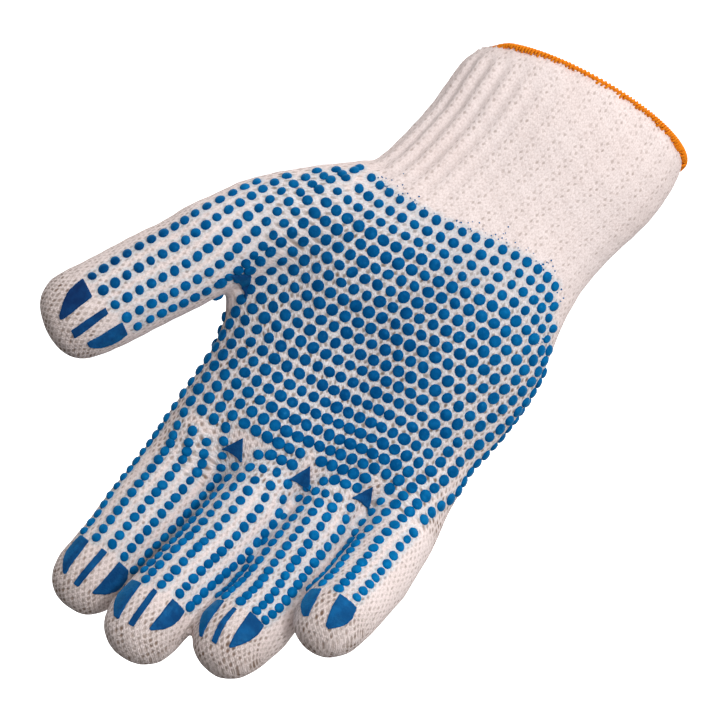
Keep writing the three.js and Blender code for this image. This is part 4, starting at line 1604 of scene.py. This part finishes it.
@dataclass
class Overlock:
    """Orange yarn wrapped over the cuff's edge, close turns round a core bead.

    Attributes:
        knit: the knit whose mouth it follows.
        inset: distance of the wall's middle from its outside.
        turns: wraps round the whole mouth.
        steps: points a wrap.
        yarn: radius of the yarn.
        reach: half width and half height of a wrap.
        centre: height of the wraps' middle over the knit's rim.
        tuck: where, across the mouth, the edging starts to roll inward and is all in.
        tuck_by: how far it rolls in.
        tuck_drop: how much it sinks for each millimetre rolled in.
        slip: how unevenly the wraps follow one another, in points.
        hang: mean, spread and least of how far a wrap hangs below the others.
        core: the core's radius as a share of a wrap's smaller reach.
        seed: of the random wraps.
    """

    knit: Knit
    inset: float = 0.85
    turns: int = 190
    steps: int = 10
    yarn: float = 0.45
    reach: tuple[float, float] = (1.0, 0.62)
    centre: float = 1.85
    tuck: tuple[float, float] = (-30.0, -38.0)
    tuck_by: float = 1.7
    tuck_drop: float = 0.5
    slip: float = 0.2
    hang: tuple[float, float, float] = (0.15, 0.38, -0.3)
    core: float = 0.92
    seed: int = 21

    def rim(self, angle: float) -> tuple[Vector, Vector]:
        """Middle of the wall at the mouth and the direction out of the cuff, in millimetres."""
        x, y = self.knit.hand.outline(MOUTH[0], np.array([angle - NUDGE, angle, angle + NUDGE]))
        level = self.knit.hand.mouth(x[1], y[1])
        out = Vector((y[2] - y[0], -(x[2] - x[0]), 0)).normalized()
        rolled = float(smoothstep(*self.tuck, np.array(x[1]))) * self.tuck_by
        inset = self.inset + rolled
        return Vector((x[1], y[1], level - rolled * self.tuck_drop)) - out * inset, out

    def build(self) -> None:
        """Winds the yarn and lays the core bead under it."""
        rand = random.Random(self.seed)
        curve = bpy.data.curves.new("overlock", "CURVE")
        curve.dimensions = "3D"
        curve.bevel_depth = self.yarn * MM
        curve.bevel_resolution = 1
        curve.resolution_u = 1
        count = self.turns * self.steps
        spline = curve.splines.new("POLY")
        spline.points.add(count - 1)
        spline.use_cyclic_u = True
        mean, spread, least = self.hang
        hang = [max(rand.gauss(mean, spread), least) for _ in range(self.turns)]
        for k in range(count):
            turn = k // self.steps
            phase = TAU * k / self.steps
            middle, out = self.rim(TAU * (k + rand.uniform(-self.slip, self.slip)) / count)
            low = max(-math.sin(phase), 0) * hang[turn]
            side = out * math.cos(phase) * self.reach[0]
            up = Vector((0, 0, self.centre + math.sin(phase) * self.reach[1] - low))
            spline.points[k].co = (*(middle + side + up) * MM, 1)
        self.piece("overlock_yarn", curve)
        core = bpy.data.curves.new("core", "CURVE")
        core.dimensions = "3D"
        core.bevel_depth = min(self.reach) * MM * self.core
        core.bevel_resolution = 2
        spline = core.splines.new("POLY")
        spline.points.add(self.turns - 1)
        spline.use_cyclic_u = True
        for k in range(self.turns):
            middle, _ = self.rim(TAU * k / self.turns)
            spline.points[k].co = (*(middle + Vector((0, 0, self.centre))) * MM, 1)
        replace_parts(self.piece("overlock_core", core), "cuff_edging")

    @staticmethod
    def piece(name: str, curve: bpy.types.Curve) -> bpy.types.Object:
        """Turns a wound curve into a piece of yarn."""
        holder = bpy.data.objects.new(name, curve)
        bpy.context.collection.objects.link(holder)
        mesh = bpy.data.meshes.new_from_object(
            holder.evaluated_get(bpy.context.evaluated_depsgraph_get()))
        bpy.data.objects.remove(holder)
        piece = mesh_object(name, mesh, OverlockYarn().make())
        LOG.info("%s: %d faces", name, len(mesh.polygons))
        return piece


@dataclass
class Studio:
    """Pale floor and backdrop, soft light and the camera.

    Attributes:
        camera_place: where the camera is, in metres.
        roll: how far it is rolled, in degrees.
        lens: its focal length, in millimetres.
        clip: nearest distance it sees, in metres.
        floor_level: level of the floor, in metres.
        floor_size: half its width and the surround's radius, in metres.
        glow: light that both give off toward the camera.
        ambient: strength of the surroundings on their dark and on their bright side.
        bright_side: direction of the bright side.
        aim: place that the lamps point at, in metres.
        lamps: name, place, power in watts and width in metres of each lamp.
    """

    camera_place: tuple[float, float, float] = (-0.0138, -0.8, -0.114)
    roll: float = 34.0
    lens: float = 120.0
    clip: float = 0.01
    floor_level: float = -0.6
    floor_size: float = 5.0
    glow: float = 1.05
    ambient: tuple[float, float] = (0.05, 1.07)
    bright_side: tuple[float, float, float] = (0.0, 0.0, 1.0)
    aim: tuple[float, float, float] = (-0.03, 0.0, -0.12)
    lamps: tuple[tuple, ...] = (
        ("key", (0.13, -0.68, 0.12), 2.25, 0.3),
        ("sparkle", (0.30, -1.0, 0.26), 1.6, 0.035),
    )

    def build(self) -> None:
        """Sets the studio up."""
        self.camera()
        self.floor()
        self.lights()

    def camera(self) -> None:
        """Camera level with the palm, rolled so that the cuff is at the upper right."""
        data = bpy.data.cameras.new("camera")
        data.lens = self.lens
        camera = bpy.data.objects.new("camera", data)
        bpy.context.collection.objects.link(camera)
        turn = math.radians(self.roll)
        c, s = math.cos(turn), math.sin(turn)
        axes = Matrix(((c, -s, 0), (0, 0, -1), (s, c, 0))).to_4x4()
        camera.matrix_world = Matrix.Translation(self.camera_place) @ axes
        data.clip_start = self.clip
        bpy.context.scene.camera = camera

    def floor(self) -> None:
        """Pale floor far below the glove and a white surround, both seen and neither lighting it."""
        bm = bmesh.new()
        bmesh.ops.create_grid(bm, x_segments=1, y_segments=1, size=self.floor_size)
        self.stage_piece("floor", bm, Matrix.Translation((0, 0, self.floor_level)))
        bm = bmesh.new()
        bmesh.ops.create_uvsphere(bm, u_segments=48, v_segments=24, radius=self.floor_size)
        self.stage_piece("surround", bm, Matrix.Identity(4))

    def stage_piece(self, name: str, bm: bmesh.types.BMesh, place: Matrix) -> None:
        """Adds a plain white piece of the studio.

        Args:
            name: its name.
            bm: its shape, freed here.
            place: where it stands.
        """
        mesh = bpy.data.meshes.new(name)
        bm.to_mesh(mesh)
        bm.free()
        mesh.transform(place)
        piece = bpy.data.objects.new(name, mesh)
        bpy.context.collection.objects.link(piece)
        g = Graph(f"pale_{name}")
        tone = g.shade(3.0, 2.0, (0.0, (0.90, 0.90, 0.90)), (1.0, (0.94, 0.94, 0.94)))
        material = g.finish(tone, 0.9, g.bump(g.noise(60.0), 0.0001), Emission_Strength=self.glow)
        g.shader.inputs["Emission Color"].default_value = (1, 1, 1, 1)
        mesh.materials.append(material)
        piece.visible_diffuse = False
        piece.visible_glossy = False
        piece.visible_shadow = False

    def lights(self) -> None:
        """White surroundings, brightest from above, a soft key near the camera and a small lamp.

        The small lamp is behind the camera and gives the print its highlights.
        """
        world = bpy.data.worlds.new("surroundings")
        bpy.context.scene.world = world
        world.use_nodes = True
        background = world.node_tree.nodes["Background"]
        background.inputs["Color"].default_value = (1, 1, 1, 1)
        nodes, links = world.node_tree.nodes, world.node_tree.links
        facing = nodes.new("ShaderNodeVectorMath")
        facing.operation = "DOT_PRODUCT"
        facing.inputs[1].default_value = self.bright_side
        level = nodes.new("ShaderNodeMapRange")
        level.inputs["From Min"].default_value = -1
        level.inputs["To Min"].default_value, level.inputs["To Max"].default_value = self.ambient
        links.new(nodes.new("ShaderNodeTexCoord").outputs["Generated"], facing.inputs[0])
        links.new(facing.outputs["Value"], level.inputs["Value"])
        links.new(level.outputs["Result"], background.inputs["Strength"])
        bpy.context.scene.view_settings.view_transform = "Standard"
        middle = Vector(self.aim)
        for name, place, power, size in self.lamps:
            data = bpy.data.lights.new(name, "AREA")
            data.energy = power
            data.size = size
            light = bpy.data.objects.new(name, data)
            bpy.context.collection.objects.link(light)
            spot = Vector(place)
            aim = (middle - spot).to_track_quat("-Z", "Y").to_matrix().to_4x4()
            light.matrix_world = Matrix.Translation(spot) @ aim


def main() -> None:
    """Builds the glove piece by piece, then the studio."""
    logging.basicConfig(level=logging.INFO, format="%(relativeCreated)d %(message)s")
    Studio().build()
    knit = Knit()
    knit.build()
    DotPrint(knit).build()
    BlockPrints(knit).build()
    Overlock(knit).build()


if __name__ == "__main__":
    main()
